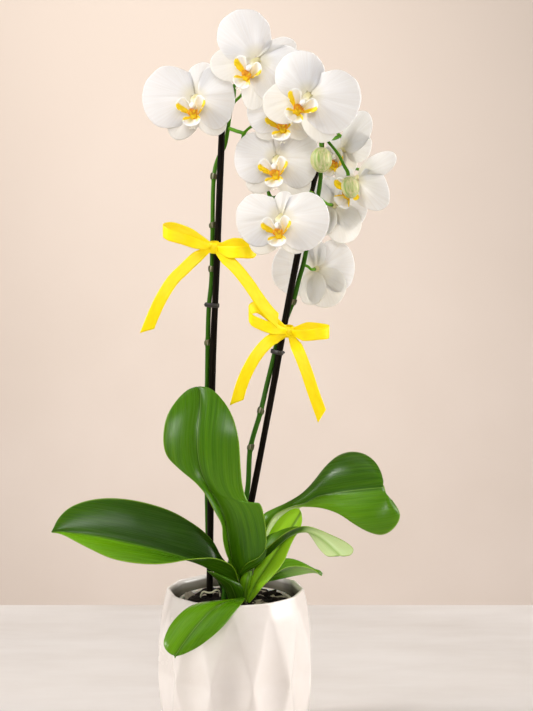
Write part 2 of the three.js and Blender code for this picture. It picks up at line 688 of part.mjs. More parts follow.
// A bow: a knot, two loops and two tails of ribbon, and the turn that ties it on.
const bows = {
  ribbon_left: {
    knot: [-18.6, -5.5, 469], turn: [-18.3, 4.8, 469], axis: [0.05, 0, 1], inner: 8,
    loops: [
      [[-20.3, -8, 468.4], [-34.6, -17, 473], [-48.8, -21, 477.7], [-60.6, -19, 481.2],
        [-64.6, -13, 484.7], [-57.7, -7, 486.5], [-44.2, -5, 482.8], [-31.4, -5, 476.5],
        [-20.3, -5, 470.2]],
      [[-16.7, -8, 468.4], [-5.6, -18, 465], [6.2, -23, 465], [17, -20, 465], [19.7, -14, 468.5],
        [11.5, -10, 471.1], [-2.2, -7, 472], [-15.9, -5, 469.3]],
    ],
    tails: [
      [[-21.2, -8, 468.4], [-33.8, -14, 460.4], [-46.5, -16, 448.6], [-55.6, -17, 439.6],
        [-66.5, -18, 422.5], [-73.9, -17, 406.9], [-79.6, -15, 393.1]],
      [[-16.7, -8, 466.6], [-8.4, -15, 459.5], [0.7, -18, 451.4], [12.5, -21, 437.1],
        [22.4, -23, 422.7], [31.5, -25, 411.1], [39.6, -26, 403]],
    ],
  },
  ribbon_right: {
    knot: [49.5, -2.8, 392], turn: [45.4, 9.8, 392], axis: [0.25, 0.03, 1], inner: 7.6,
    loops: [
      [[48.8, -6, 391.8], [36.9, -16, 395], [25.1, -20, 399], [15.1, -19, 404.3], [13.3, -13, 411.2],
        [19.6, -8, 414.5], [30.6, -6, 407.1], [40.6, -5, 398.9], [48.9, -3, 392.5]],
      [[51.5, -6, 390.9], [64.2, -17, 389.6], [75.9, -21, 390.9], [84.2, -18, 391.5], [86.2, -12, 392.9],
        [78.2, -7, 394.3], [65.4, -6, 395.1], [52.4, -3, 392.5]],
    ],
    tails: [
      [[48, -7, 390.1], [33.3, -17, 385.1], [22.4, -20, 374.4], [13.3, -20, 359.8], [6.9, -18, 344.9],
        [3.1, -16, 331.8]],
      [[51, -7, 388.3], [57.9, -17, 375.9], [65.1, -20, 357.9], [71.5, -20, 338.7], [78.1, -18, 320.1]],
    ],
  },
};

// A band of ribbon along a route, its width standing across the way it looks.
function bandRows(route, steps, look) {
  const curve = new THREE.CatmullRomCurve3(points(route));
  const rows = [];
  for (let i = 0; i <= steps; i += 1) {
    const ahead = curve.getTangentAt(i / steps);
    const wide = look ? ahead.clone().cross(look).normalize() : vector(0, 0.05, 1);
    const width = Math.min(ribbon.width, lerp(4, 22, Math.min(i, look ? steps : steps - i) / steps * 2));
    rows.push([-0.5, 0.5].map((k) => curve.getPointAt(i / steps).addScaledVector(wide, k * width)));
  }
  return rows;
}

function makeBow(name) {
  const bow = bows[name];
  const knot = new THREE.BoxGeometry(10, 10, 9);
  knot.translate(...bow.knot);
  const pieces = [knot, sleeve(bow.turn, bow.axis, bow.inner, ribbon.thickness, ribbon.band)];
  for (const loop of bow.loops) {
    pieces.push(plate(bandRows(loop, 11), ribbon.thickness));
  }
  for (const tail of bow.tails) {
    pieces.push(plate(bandRows(tail, 7, vector(0, -1, 0.2)), ribbon.thickness));
  }
  return meshOf(name, geometryFromSolid(fuse(pieces)), colours.ribbon, 0.35);
}

// A thin aerial root that loops in front of the left stake and dips into the bark.
const root = {
  radius: 0.9,
  route: points([
    [-35, 8, 127], [-33.5, 6, 140], [-30, 3.5, 147], [-24.5, 2, 149], [-18, 3.5, 148], [-14.5, 6, 139],
    [-14, 7, 128],
  ]),
};

function makeRoot() {
  const loop = bar(new THREE.CatmullRomCurve3(root.route), () => root.radius, 5, 10);
  return meshOf('air_root', loop, colours.root, 0.7);
}

// ---------------------------------------------------------------- the part

const spikeSolids = { left: spikeSolid('left'), right: spikeSolid('right') };

// A hole is the foot of what stands in it, grown by the clearance, and as much deeper.
function footHole(route, radius) {
  const deeper = route.map((p) => (p.z < bark.surface - 5 ? vector(p.x, p.y, p.z - clearance) : p));
  return solidOf(bar(new THREE.CatmullRomCurve3(deeper), () => radius + clearance, 8, 10));
}

const part = new THREE.Group();
const holes = [
  footHole(stakeRoutes.left, stake.radius + 0.2),
  footHole(stakeRoutes.right, stake.radius + 0.2),
  crownSolid(clearance),
  footHole(points([[-4, 9, stem.foot], [-9, 11, 140], [-17, 14, 160]]), stem.radius + 0.5),
  footHole(points([[-13, -9, stem.foot], [-11, -8.5, 139], [-7, -6.5, 165]]), stem.radius + 0.4),
  footHole(root.route, root.radius + 0.2),
];
part.add(makePot(), makeLiner(), makeBark(holes));
part.add(meshOf('stake_left', stakeBar(stakeRoutes.left), colours.stake, 0.3));
part.add(meshOf('stake_right', stakeBar(stakeRoutes.right), colours.stake, 0.3));
part.add(meshOf('crown', geometryFromSolid(crownSolid(0)), colours.stem), makeRoot());
for (const [side, solid] of Object.entries(spikeSolids)) {
  part.add(meshOf(`spike_${side}`, geometryFromSolid(solid), colours.stem, 0.45));
}
part.add(...Object.keys(leaves).map(makeLeaf));
part.add(...Object.keys(blooms).map(makeBloom), ...Object.keys(blooms).map(makeLip));
part.add(...Object.keys(buds).map(makeBud), ...Object.keys(clips).map(makeClip));
part.add(...Object.keys(bows).map(makeBow));

export default part;
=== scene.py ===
import math
import random

import bpy
import numpy as np
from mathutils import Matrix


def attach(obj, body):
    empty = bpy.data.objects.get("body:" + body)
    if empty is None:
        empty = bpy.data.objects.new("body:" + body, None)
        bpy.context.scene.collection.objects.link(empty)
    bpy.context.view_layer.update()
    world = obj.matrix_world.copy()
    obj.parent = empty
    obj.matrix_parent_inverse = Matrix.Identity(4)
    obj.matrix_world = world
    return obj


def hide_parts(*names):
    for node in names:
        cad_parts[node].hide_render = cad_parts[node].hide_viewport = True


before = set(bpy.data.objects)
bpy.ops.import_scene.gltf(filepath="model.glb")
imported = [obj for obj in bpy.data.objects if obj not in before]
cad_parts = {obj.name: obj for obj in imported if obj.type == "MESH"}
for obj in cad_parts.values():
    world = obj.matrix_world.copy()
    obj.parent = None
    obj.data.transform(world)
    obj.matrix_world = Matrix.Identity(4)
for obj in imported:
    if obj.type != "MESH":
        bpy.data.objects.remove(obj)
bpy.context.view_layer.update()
scene = bpy.context.scene
scene.view_settings.view_transform = "Standard"
print("frame loaded")

millimetre = 0.001  # the tables below are in millimetres


# ways along a curve

def unit(vectors):
    return vectors / np.maximum(np.linalg.norm(vectors, axis=-1, keepdims=True), 1e-9)


def curveThrough(stops, shares):
    stops = np.array(stops, float)
    stops = stops.reshape(len(stops), -1)
    last = len(stops) - 1
    run = np.vstack([2 * stops[0] - stops[1], stops, 2 * stops[-1] - stops[-2]])
    place = np.clip(np.asarray(shares, float), 0, 1) * last
    step = np.minimum(np.floor(place).astype(int), last - 1)
    w = (place - step)[:, None]
    p0, p1, p2, p3 = (run[step + k] for k in range(4))
    gaps = [np.sqrt(np.linalg.norm(b - a, axis=1))[:, None] for a, b in ((p0, p1), (p1, p2), (p2, p3))]
    gaps[1] = np.where(gaps[1] < 1e-4, 1, gaps[1])
    gaps = [np.where(gap < 1e-4, gaps[1], gap) for gap in gaps]
    before, here, after = gaps
    t1 = ((p1 - p0) / before - (p2 - p0) / (before + here) + (p2 - p1) / here) * here
    t2 = ((p2 - p1) / here - (p3 - p1) / (here + after) + (p3 - p2) / after) * here
    return p1 + t1 * w + (3 * (p2 - p1) - 2 * t1 - t2) * w ** 2 + (2 * (p1 - p2) + t1 + t2) * w ** 3


def valuesThrough(stops, shares):
    return curveThrough(stops, shares)[:, 0]


def evenRoute(stops, shares):  # places, headings and length, by distance along the curve
    fine = np.linspace(0, 1, 900)
    dense = curveThrough(stops, fine)
    gone = np.concatenate([[0], np.cumsum(np.linalg.norm(np.diff(dense, axis=0), axis=1))])
    place = np.interp(np.asarray(shares, float) * gone[-1], gone, fine)
    ahead = curveThrough(stops, place + 2e-3) - curveThrough(stops, place - 2e-3)
    return curveThrough(stops, place), unit(ahead), gone[-1]


def wander(x, y, seed, speed=1.0):  # smooth and repeatable, about -1 to 1
    pick = random.Random(seed)
    total = 0
    for _ in range(6):
        fx, fy, turn = pick.uniform(-1.7, 1.7), pick.uniform(-1.7, 1.7), pick.uniform(0, 6.28)
        total = total + np.sin(speed * (fx * x + fy * y) + turn)
    return total / 3


def smoothStep(low, high, value):
    t = np.clip((value - low) / (high - low), 0, 1)
    return t * t * (3 - 2 * t)


# meshes

def newPile():
    return {"points": [], "faces": [], "kinds": [], "marks": {}, "count": 0}


def heapOn(pile, points, faces, kind=0, **marks):
    points = np.asarray(points, float).reshape(-1, 3)
    shift = pile["count"]
    pile["faces"] += [[int(v) + shift for v in face] for face in faces]
    pile["kinds"] += [kind] * len(faces)
    pile["points"].append(points)
    for key in set(pile["marks"]) | set(marks):
        rows = pile["marks"].setdefault(key, [])
        value = np.asarray(marks.get(key, 0.0), float)
        width = 3 if key == "lie" else 1
        missing = shift - sum(len(r) for r in rows)
        if missing:
            rows.append(np.zeros((missing, width)))
        if value.ndim == 0:
            rows.append(np.full((len(points), width), float(value)))
        else:
            rows.append(value.reshape(len(points), width))
    pile["count"] += len(points)


def gridFaces(rows, columns, closed=False, flip=False, start=0):
    spans = columns if closed else columns - 1
    i, j = np.meshgrid(np.arange(rows - 1), np.arange(spans), indexing="ij")
    k = (j + 1) % columns
    quads = np.stack([i * columns + j, i * columns + k, (i + 1) * columns + k, (i + 1) * columns + j], -1)
    quads = quads.reshape(-1, 4) + start
    return (quads[:, ::-1] if flip else quads).tolist()


def tubeFaces(rows, columns, flip=False):  # a band of rings with its two ends
    low, high = list(range(columns))[::-1], [(rows - 1) * columns + k for k in range(columns)]
    ends = [low[::-1], high[::-1]] if flip else [low, high]
    return gridFaces(rows, columns, closed=True, flip=flip) + ends


def sheetSkin(grid, thick):  # both faces of a thin sheet, joined round its edges
    rows, columns = grid.shape[:2]
    normal = unit(np.cross(np.gradient(grid, axis=0), np.gradient(grid, axis=1)))
    half = np.broadcast_to(np.asarray(thick, float), grid.shape[:2])[..., None] / 2
    points = np.concatenate([(grid + normal * half).reshape(-1, 3), (grid - normal * half).reshape(-1, 3)])
    size = rows * columns
    faces = gridFaces(rows, columns, flip=True) + gridFaces(rows, columns, start=size)
    index = np.arange(size).reshape(rows, columns)
    rim = np.concatenate([index[0, :-1], index[:-1, -1], index[-1, :0:-1], index[:0:-1, 0]])
    after = np.roll(rim, -1)
    faces += np.stack([rim, after, after + size, rim + size], -1).tolist()
    return points, faces


def bothFaces(mark):
    mark = np.asarray(mark, float)
    flat = mark.reshape(-1, 3) if mark.ndim == 3 else mark.reshape(-1)
    return np.concatenate([flat, flat])


def underMark(grid):  # the first face of a leaf's skin looks down
    size = grid.shape[0] * grid.shape[1]
    return np.concatenate([np.ones(size), np.zeros(size)])


def tubeSkin(centres, radii, sides=12, side=None):
    centres = np.asarray(centres, float)
    count = len(centres)
    ahead = unit(np.gradient(centres, axis=0))
    first = np.array(side if side is not None else (0.0, -1.0, 0.01))
    first = first - ahead[0] * first.dot(ahead[0])
    normals = [first / np.linalg.norm(first)]
    for k in range(1, count):
        step = normals[-1] - ahead[k] * normals[-1].dot(ahead[k])
        normals.append(step / np.linalg.norm(step))
    normals = np.array(normals)
    binormals = np.cross(ahead, normals)
    radii = np.asarray(radii, float)
    radii = np.stack([radii, radii], -1) if radii.ndim == 1 else radii
    turn = np.linspace(0, 2 * np.pi, sides, endpoint=False)
    ring = (normals[:, None] * np.cos(turn)[None, :, None] * radii[:, None, :1]
            + binormals[:, None] * np.sin(turn)[None, :, None] * radii[:, None, 1:])
    points = (centres[:, None] + ring).reshape(-1, 3)
    gone = np.concatenate([[0], np.cumsum(np.linalg.norm(np.diff(centres, axis=0), axis=1))])
    lie = np.stack([radii[:, :1] * np.cos(turn), radii[:, 1:] * np.sin(turn),
                    np.broadcast_to(gone[:, None], (count, sides))], -1)
    return points, tubeFaces(count, sides), lie.reshape(-1, 3)


def heapTube(pile, centres, radii, sides=12, side=None, put=None, kind=0, shift=0, **marks):
    points, faces, lie = tubeSkin(centres, radii, sides, side)
    heapOn(pile, put(points) if put else points, faces, kind, lie=lie + shift, **marks)


def spun(profile, sides, ribs=0.0):  # radius and height, turned about the middle, with 24 shallow ribs if any
    profile = np.array(profile, float)
    turn = np.linspace(0, 2 * np.pi, sides, endpoint=False)
    swell = 1 + ribs * np.cos(24 * turn)
    x, y = profile[:, :1] * np.cos(turn) * swell, profile[:, :1] * np.sin(turn) * swell
    return np.stack([x, y, np.broadcast_to(profile[:, 1:], x.shape)], -1), tubeFaces(len(profile), sides)


def roundedEnds(radius, shares, length, cap):  # a radius that closes over the last few millimetres
    near = np.minimum(shares, 1 - shares) * length / cap
    return radius * np.sqrt(np.clip(1 - (1 - np.clip(near, 0, 1)) ** 2, 0.01, 1))


def makePiece(name, pile, materials, nodes=()):
    mesh = bpy.data.meshes.new(name)
    points = np.concatenate(pile["points"]) * millimetre
    mesh.from_pydata(points.tolist(), [], pile["faces"])
    for key, rows in pile["marks"].items():
        values = np.concatenate(rows)
        kind = "FLOAT_VECTOR" if values.shape[1] == 3 else "FLOAT"
        mark = mesh.attributes.new(key, kind, "POINT")
        mark.data.foreach_set("vector" if kind == "FLOAT_VECTOR" else "value", values.ravel())
    mesh.polygons.foreach_set("use_smooth", [True] * len(mesh.polygons))
    mesh.polygons.foreach_set("material_index", pile["kinds"])
    for material in materials:
        mesh.materials.append(material)
    mesh.update()
    piece = bpy.data.objects.new(name, mesh)
    scene.collection.objects.link(piece)
    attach(piece, "root")
    if nodes:
        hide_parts(*nodes)
    return piece


# materials

def tint(code):
    parts = [int(code[k:k + 2], 16) / 255 for k in (1, 3, 5)]
    return tuple(p / 12.92 if p <= 0.04045 else ((p + 0.055) / 1.055) ** 2.4 for p in parts) + (1.0,)


def newFinish(name, **sockets):
    material = bpy.data.materials.new(name)
    material.use_nodes = True
    tree = material.node_tree
    shader = tree.nodes["Principled BSDF"]
    for key, value in sockets.items():
        shader.inputs[key.replace("_", " ")].default_value = value
    return material, tree, shader


def addNode(tree, kind, inputs, **settings):
    node = tree.nodes.new("ShaderNode" + kind)
    for key, value in settings.items():
        setattr(node, key, value)
    for key, value in inputs.items():
        if isinstance(value, bpy.types.NodeSocket):
            tree.links.new(value, node.inputs[key])
        else:
            node.inputs[key].default_value = value
    return node


def markOf(tree, name):
    node = addNode(tree, "Attribute", {}, attribute_name=name)
    return node.outputs["Vector" if name == "lie" else "Fac"]


def stretched(tree, vector, stretch):
    return addNode(tree, "Mapping", {"Vector": vector, "Scale": stretch}).outputs["Vector"]


def noiseOf(tree, vector, scale, detail=3.0, roughness=0.55, distortion=0.0):
    inputs = {"Vector": vector, "Scale": scale, "Detail": detail, "Roughness": roughness, "Distortion": distortion}
    return addNode(tree, "TexNoise", inputs).outputs["Fac"]


def rampOf(tree, source, stops):
    node = addNode(tree, "ValToRGB", {"Fac": source})
    band = node.color_ramp
    while len(band.elements) < len(stops):
        band.elements.new(0.5)
    for element, (place, colour) in zip(band.elements, stops):
        element.position = place
        element.color = tint(colour) if isinstance(colour, str) else (colour, colour, colour, 1)
    return node.outputs["Color"]


def mixed(tree, share, first, second, blend="MIX"):
    node = addNode(tree, "Mix", {}, data_type="RGBA", blend_type=blend)
    for k, value in ((0, share), (6, first), (7, second)):
        if isinstance(value, bpy.types.NodeSocket):
            tree.links.new(value, node.inputs[k])
        else:
            node.inputs[k].default_value = tint(value) if isinstance(value, str) else value
    return node.outputs[2]


def mathOf(tree, operation, first, second=0.0):
    return addNode(tree, "Math", {0: first, 1: second}, operation=operation).outputs[0]


def between(tree, source, low, high, least=0.0, most=1.0):
    inputs = {"Value": source, "From Min": low, "From Max": high, "To Min": least, "To Max": most}
    return addNode(tree, "MapRange", inputs).outputs["Result"]


def addBump(tree, shader, height, strength, distance):
    bump = addNode(tree, "Bump", {"Height": height, "Strength": strength, "Distance": distance})
    tree.links.new(bump.outputs["Normal"], shader.inputs["Normal"])


def paint(tree, shader, colour, roughness=None):
    tree.links.new(colour, shader.inputs["Base Color"])
    if roughness is not None:
        tree.links.new(roughness, shader.inputs["Roughness"])


# camera, light and the plain set

camera = {"place": (0.029193, -1.4, 0.50408), "tilt": 84.499, "lens": 77.247, "sensor": 36}
lights = {  # places and sizes in metres, power in watts
    "key": {"at": (-1.9, -0.45, 1.0), "to": (0.0, 0.0, 0.4), "size": 0.7, "power": 13.2,
            "spread": 180, "tint": "#FFFDFB"},
    "window": {"at": (-1.3, -0.3, 1.35), "to": (0.1, 0.0, 0.25), "size": 0.26, "power": 12,
               "spread": 180, "tint": "#FFFFFF"},
    "front": {"at": (0.1, -2.2, 1.3), "to": (0.06, 0.0, 0.59), "size": 1.0, "power": 1.25,
              "spread": 26, "tint": "#FFFFFF"},
    "side": {"at": (1.9, -0.2, 0.8), "to": (0.0, 0.0, 0.3), "size": 0.8, "power": 28,
             "spread": 180, "tint": "#FFFDFB"},
    "top": {"at": (-0.3, 0.0, 2.1), "to": (0.0, 0.1, 0.2), "size": 1.4, "power": 6,
            "spread": 180, "tint": "#FFFFFF"},
    "wash": {"at": (-0.75, 1.1, 2.4), "to": (0.1, 2.8, 0.4), "size": 1.2, "power": 31,
             "spread": 100, "tint": "#FFF3E8"},  # the wall's own light
}
room = {
    "sky": 0.34, "skyTint": "#FFF3EA",
    "table": {"half": 1700, "front": -1300, "back": 509, "tones": ["#DED9D5", "#D2CBC5", "#EDE8E4"]},
    # far enough back that the object can be seen from behind as well; its last tone is painted shade toward the top
    "wall": {"at": 2800, "half": 4500, "foot": -2400, "top": 4500, "tones": ["#DBCFC5", "#E5DAD2", "#C0B8B1"]},
}


def setCamera():
    lens = bpy.data.cameras.new("camera")
    lens.lens = camera["lens"]
    lens.sensor_width = camera["sensor"]
    holder = bpy.data.objects.new("camera", lens)
    holder.location = camera["place"]
    holder.rotation_euler = (math.radians(camera["tilt"]), 0, 0)
    scene.collection.objects.link(holder)
    scene.camera = holder


def setLights():
    for name, light in lights.items():
        lamp = bpy.data.lights.new(name, "AREA")
        lamp.size = light["size"]
        lamp.spread = math.radians(light["spread"])
        lamp.energy = light["power"]
        lamp.color = tint(light["tint"])[:3]
        holder = bpy.data.objects.new(name, lamp)
        holder.location = light["at"]
        reach = np.array(light["to"]) - np.array(light["at"])
        flat = math.hypot(reach[0], reach[1])
        holder.rotation_euler = (math.atan2(flat, -reach[2]), 0, math.atan2(-reach[0], reach[1]))
        scene.collection.objects.link(holder)
    world = bpy.data.worlds.new("soft room")
    world.use_nodes = True
    sky = world.node_tree.nodes["Background"]
    sky.inputs["Color"].default_value = tint(room["skyTint"])
    sky.inputs["Strength"].default_value = room["sky"]
    scene.world = world


def wallFinish():
    material, tree, shader = newFinish("wallPaint", Roughness=0.9)
    first, second, paintedTopShade = room["wall"]["tones"]
    where = addNode(tree, "TexCoord", {}).outputs["Object"]
    cloud = noiseOf(tree, where, 1.5, 3.0)
    plain = mixed(tree, between(tree, cloud, 0.3, 0.7), first, second)
    height = addNode(tree, "SeparateXYZ", {0: where}).outputs[2]
    # painted shade: the wall darkens toward its top
    plain = mixed(tree, between(tree, height, -0.6, 1.1), plain, paintedTopShade)
    paint(tree, shader, plain)
    addBump(tree, shader, noiseOf(tree, where, 160.0), 0.03, 0.0005)
    return material


def tableFinish():
    material, tree, shader = newFinish("tableTop", Roughness=0.55)
    first, second, pale = room["table"]["tones"]
    where = addNode(tree, "TexCoord", {}).outputs["Object"]
    streaks = noiseOf(tree, stretched(tree, where, (3.0, 9.0, 1.0)), 1.5, 4.0, 0.6)
    plain = mixed(tree, between(tree, streaks, 0.35, 0.68), first, second)
    clouds = noiseOf(tree, where, 4.0, 3.0)
    plain = mixed(tree, between(tree, clouds, 0.3, 0.75, 0.0, 0.55), plain, pale)
    paint(tree, shader, plain)
    addBump(tree, shader, streaks, 0.05, 0.001)
    return material


def makeRoom():
    front, back, side = (room["table"][key] for key in ("front", "back", "half"))
    far, foot, top, half = (room["wall"][key] for key in ("at", "foot", "top", "half"))
    for name, corners, material in (
        ("tableTop", [(-side, front, 0), (side, front, 0), (side, back, 0), (-side, back, 0)], tableFinish()),
        ("wall", [(-half, far, foot), (half, far, foot), (half, far, top), (-half, far, top)], wallFinish()),
    ):
        mesh = bpy.data.meshes.new(name)
        mesh.from_pydata([tuple(v * millimetre for v in c) for c in corners], [], [(0, 1, 2, 3)])
        mesh.materials.append(material)
        piece = bpy.data.objects.new(name, mesh)
        scene.collection.objects.link(piece)


setCamera()
setLights()
makeRoom()
print("camera, lights and room set")


# the scooped pot

pot = {
    "height": 150, "waistRadius": 73.5, "rimRadius": 64.5, "baseRadius": 60,
    "scoops": 12, "turn": -1.5, "scoopDepth": 5.2, "across": 13, "rimLift": 0.3,
    "softFrom": 134, "softTo": 148, "softSteps": 32,  # where and how much the corners round off
    "rim": [(0.998, 149.5), (0.989, 150.1), (0.968, 150.3), (0.946, 149.7), (0.93, 148.2)],  # share and height
    "floor": [(0.865, 9.2), (0.84, 8.1), (0.5, 8), (0.05, 8)],
    "foot": [(0.05, 1.2), (0.8, 1.2), (0.92, 1.0), (0.935, 0.0), (0.97, 0.0), (0.992, 0.6)],
    # the inside colour is painted shade: the inner wall and floor are the same glaze, darkened as if shaded
    "glaze": "#F0E9E4", "shade": "#EBE3DC", "inside": "#4C4731",
}


def scoopRing(height):
    away = 2 * height / pot["height"] - 1
    share = 0.97 + (0.05 - 0.97) * abs(away) ** 1.15
    end = pot["rimRadius"] if away > 0 else pot["baseRadius"]
    radius = pot["waistRadius"] + (end - pot["waistRadius"]) * abs(away) ** 2
    sector = 2 * math.pi / pot["scoops"]
    edge = share * sector / 2
    ring = []
    for k in range(pot["scoops"]):
        middle = math.radians(pot["turn"] - 90) + k * sector
        corner = [radius * np.array([math.cos(middle + s * edge), math.sin(middle + s * edge)]) for s in (-1, 1)]
        inward = -np.array([math.cos(middle), math.sin(middle)])
        for x in np.linspace(-1, 1, pot["across"]):
            ring.append(corner[0] * (1 - x) / 2 + corner[1] * (1 + x) / 2
                        + inward * pot["scoopDepth"] * share ** 2 * (1 - x * x))
        turn = middle + sector - edge
        after = radius * np.array([math.cos(turn), math.sin(turn)])
        ring += [corner[1] + (after - corner[1]) * s for s in (0.25, 0.5, 0.75)]
    return np.array(ring)


def potFinish():
    material, tree, shader = newFinish(
        "potGlaze", Roughness=0.24, Specular_IOR_Level=0.45, Coat_Weight=0.2, Coat_Roughness=0.12, IOR=1.5)
    where = markOf(tree, "lie")
    mottle = noiseOf(tree, where, 0.03, 4.0, 0.6)
    colour = mixed(tree, between(tree, mottle, 0.3, 0.7), pot["glaze"], pot["shade"])
    # painted shade on the inner wall and floor
    colour = mixed(tree, markOf(tree, "inside"), colour, pot["inside"])
    paint(tree, shader, colour, between(tree, mottle, 0.3, 0.7, 0.2, 0.28))
    addBump(tree, shader, noiseOf(tree, where, 0.5, 2.0), 0.03, 0.0004)
    return material


def eased(rings, share):  # each point moves toward the middle of its neighbours
    around = (np.roll(rings, 1, 1) + np.roll(rings, -1, 1)) / 2
    return rings * (1 - share) + around * share


def makePot():
    heights = np.concatenate([[2.5], np.linspace(5, 145, 57), [147.2, 148.6]])
    rings = [scoopRing(height) for height in heights]
    outer = np.array([np.column_stack([ring, np.full(len(ring), h)]) for ring, h in zip(rings, heights)])
    outer = eased(outer, 0.5)  # soft glazed ridges
    soft = (0.5 * smoothStep(pot["softFrom"], pot["softTo"], heights))[:, None, None]
    for _ in range(pot["softSteps"]):  # the corners round off toward the mouth
        outer = eased(outer, soft)
    top = outer[-1]
    turn = np.arctan2(top[:, 1], top[:, 0]) - math.radians(pot["turn"] - 90)
    corner = (0.5 + 0.5 * np.cos(pot["scoops"] * turn)) ** 4
    lift = (corner * pot["rimLift"])[:, None] * np.array([0, 0, 1])
    flat = top * [1, 1, 0]
    rim = [flat * share + [0, 0, height] + lift for share, height in pot["rim"]]
    outer[-1] += lift * 0.6
    inner = []
    for height in np.linspace(146, 12, 26):
        slim = 0.924 - 0.049 * (146 - height) / 134
        inner.append(flat * slim + [0, 0, height] + lift * smoothStep(120, 149, height))
    floor = [flat * share + [0, 0, height] for share, height in pot["floor"]]
    foot = [outer[0] * [share, share, 0] + [0, 0, height] for share, height in pot["foot"]]
    grid = np.array(foot + list(outer) + rim + inner + floor)
    rows, columns = grid.shape[:2]
    deep = len(foot) + len(outer) + len(rim)
    # the painted shade starts just below the rim
    inside = smoothStep(deep - 2.2, deep + 0.8, np.repeat(np.arange(rows), columns)) * 0.92
    pile = newPile()
    heapOn(pile, grid, tubeFaces(rows, columns), lie=grid, inside=inside)
    makePiece("pot_glazed", pile, [potFinish()], ["pot"])


makePot()
print("pot made")


# the nursery pot inside it

liner = {"rimRadius": 54, "baseRadius": 40, "foot": 8.3, "height": 132, "wall": 1.2, "ribs": 0.004,
         "clear": "#D9D4C8", "haze": "#BDB5A6"}


def linerFinish():
    material, tree, shader = newFinish(
        "linerPlastic", Roughness=0.35, Subsurface_Weight=0.2, Subsurface_Scale=0.003)
    where = markOf(tree, "lie")
    haze = noiseOf(tree, where, 0.09, 3.0)
    colour = mixed(tree, haze, liner["clear"], liner["haze"])
    paint(tree, shader, colour, between(tree, haze, 0.3, 0.7, 0.22, 0.4))
    addBump(tree, shader, noiseOf(tree, stretched(tree, where, (1, 1, 0.2)), 0.6), 0.1, 0.0004)
    return material


def makeLiner():
    top = liner["foot"] + liner["height"]
    rim, base, wall = liner["rimRadius"], liner["baseRadius"], liner["wall"]
    profile = [(0.5, 8.4), (base - 3, 8.4), (base, 9.6), (base + 2.6, 34),
               (rim - 3.4, top - 10), (rim - 2.4, top - 5)]
    for k in range(13):  # rolled rim
        a = math.radians(-100 + k * 24)
        profile.append((rim - 2.1 + 1.9 * math.cos(a), top - 1.9 + 1.8 * math.sin(a)))
    profile += [(rim - 4, top - 4), (rim - 5, top - 10), (base + 1, 34), (base - wall, 11), (0.5, 9.8)]
    grid, faces = spun(profile, 96, liner["ribs"])
    pile = newPile()
    heapOn(pile, grid, faces, lie=grid)
    makePiece("nursery_pot", pile, [linerFinish()], ["liner_pot"])


makeLiner()
print("nursery pot made")


# bark, moss and the air root

bark = {
    "chips": 300, "surface": 137.2, "reach": 50.5, "seed": 11, "turn": 2.39996,  # turn from chip to chip
    "core": [(0.5, 10), (38.3, 10.4), (49.4, 128), (44, 132), (30, 133.5), (0.5, 134)],
    "grain": [(0.32, "#0C0806"), (0.55, "#1E150F"), (0.75, "#3A2C20"), (0.9, "#6B5743")],
    # the near-black is painted shade, most of it on the core between the chips, some on chips picked at random; the
    # pale chips are dry bark
    "dry": ["#6B6050", "#D2C7B0"], "barkShade": "#0B0806",
}
moss = {"tufts": [(-12, -43, 138), (16, -43, 138.5), (30, -34, 138)], "strands": 36,
        "tones": ["#B9B79A", "#7E8A5C"]}


def barkFinish():
    material, tree, shader = newFinish("barkChips", Roughness=0.85, Specular_IOR_Level=0.12)
    where = markOf(tree, "lie")
    grain = noiseOf(tree, stretched(tree, where, (0.25, 1.2, 1.2)), 1.1, 5.0, 0.65)
    colour = rampOf(tree, grain, bark["grain"])
    age = markOf(tree, "age")
    colour = mixed(tree, between(tree, age, 0.8, 0.9, 0.0, 0.85), colour, mixed(tree, grain, *bark["dry"]))
    # painted shade, strongest where the mark is lowest
    colour = mixed(tree, between(tree, age, 0.1, 0.6, 0.8, 0.0), colour, bark["barkShade"])
    paint(tree, shader, colour, between(tree, grain, 0.3, 0.8, 0.6, 0.95))
    addBump(tree, shader, grain, 0.9, 0.0012)
    return material


def mossFinish():
    material, tree, shader = newFinish("dryMoss", Roughness=0.9)
    where = markOf(tree, "lie")
    paint(tree, shader, mixed(tree, noiseOf(tree, where, 0.7), *moss["tones"]))
    addBump(tree, shader, noiseOf(tree, where, 2.0), 0.6, 0.0005)
    return material


def chipSkin(pick):  # a split chip: a box of bark with broken faces
    length, width, depth = pick.uniform(9, 18), pick.uniform(6, 11), pick.uniform(4, 8)
    rings, sides = 9, 12
    u = np.linspace(0, 1, rings)
    turn = np.linspace(0, 2 * np.pi, sides, endpoint=False)
    bulge = np.sin(np.pi * np.clip(u, 0.06, 0.94)) ** 0.35
    square = lambda a: np.sign(a) * np.abs(a) ** 0.55
    x = np.broadcast_to((u - 0.5)[:, None] * length, (rings, sides))
    y = square(np.cos(turn))[None] * width / 2 * bulge[:, None]
    z = square(np.sin(turn))[None] * depth / 2 * bulge[:, None]
    grid = np.stack([x, y, z], -1)
    seed = pick.randrange(10 ** 6)
    rough = wander(grid[..., 0] + grid[..., 2], grid[..., 1] - grid[..., 2], seed, 0.7)
    grid = grid * (1 + 0.16 * rough)[..., None]
    return grid.reshape(-1, 3), tubeFaces(rings, sides, flip=True)


def turned(points, rx, ry, rz):
    cx, sx, cy, sy, cz, sz = (f(a) for a in (rx, ry, rz) for f in (math.cos, math.sin))
    aboutX = np.array([[1, 0, 0], [0, cx, -sx], [0, sx, cx]])
    aboutY = np.array([[cy, 0, sy], [0, 1, 0], [-sy, 0, cy]])
    aboutZ = np.array([[cz, -sz, 0], [sz, cz, 0], [0, 0, 1]])
    return points @ (aboutZ @ aboutY @ aboutX).T


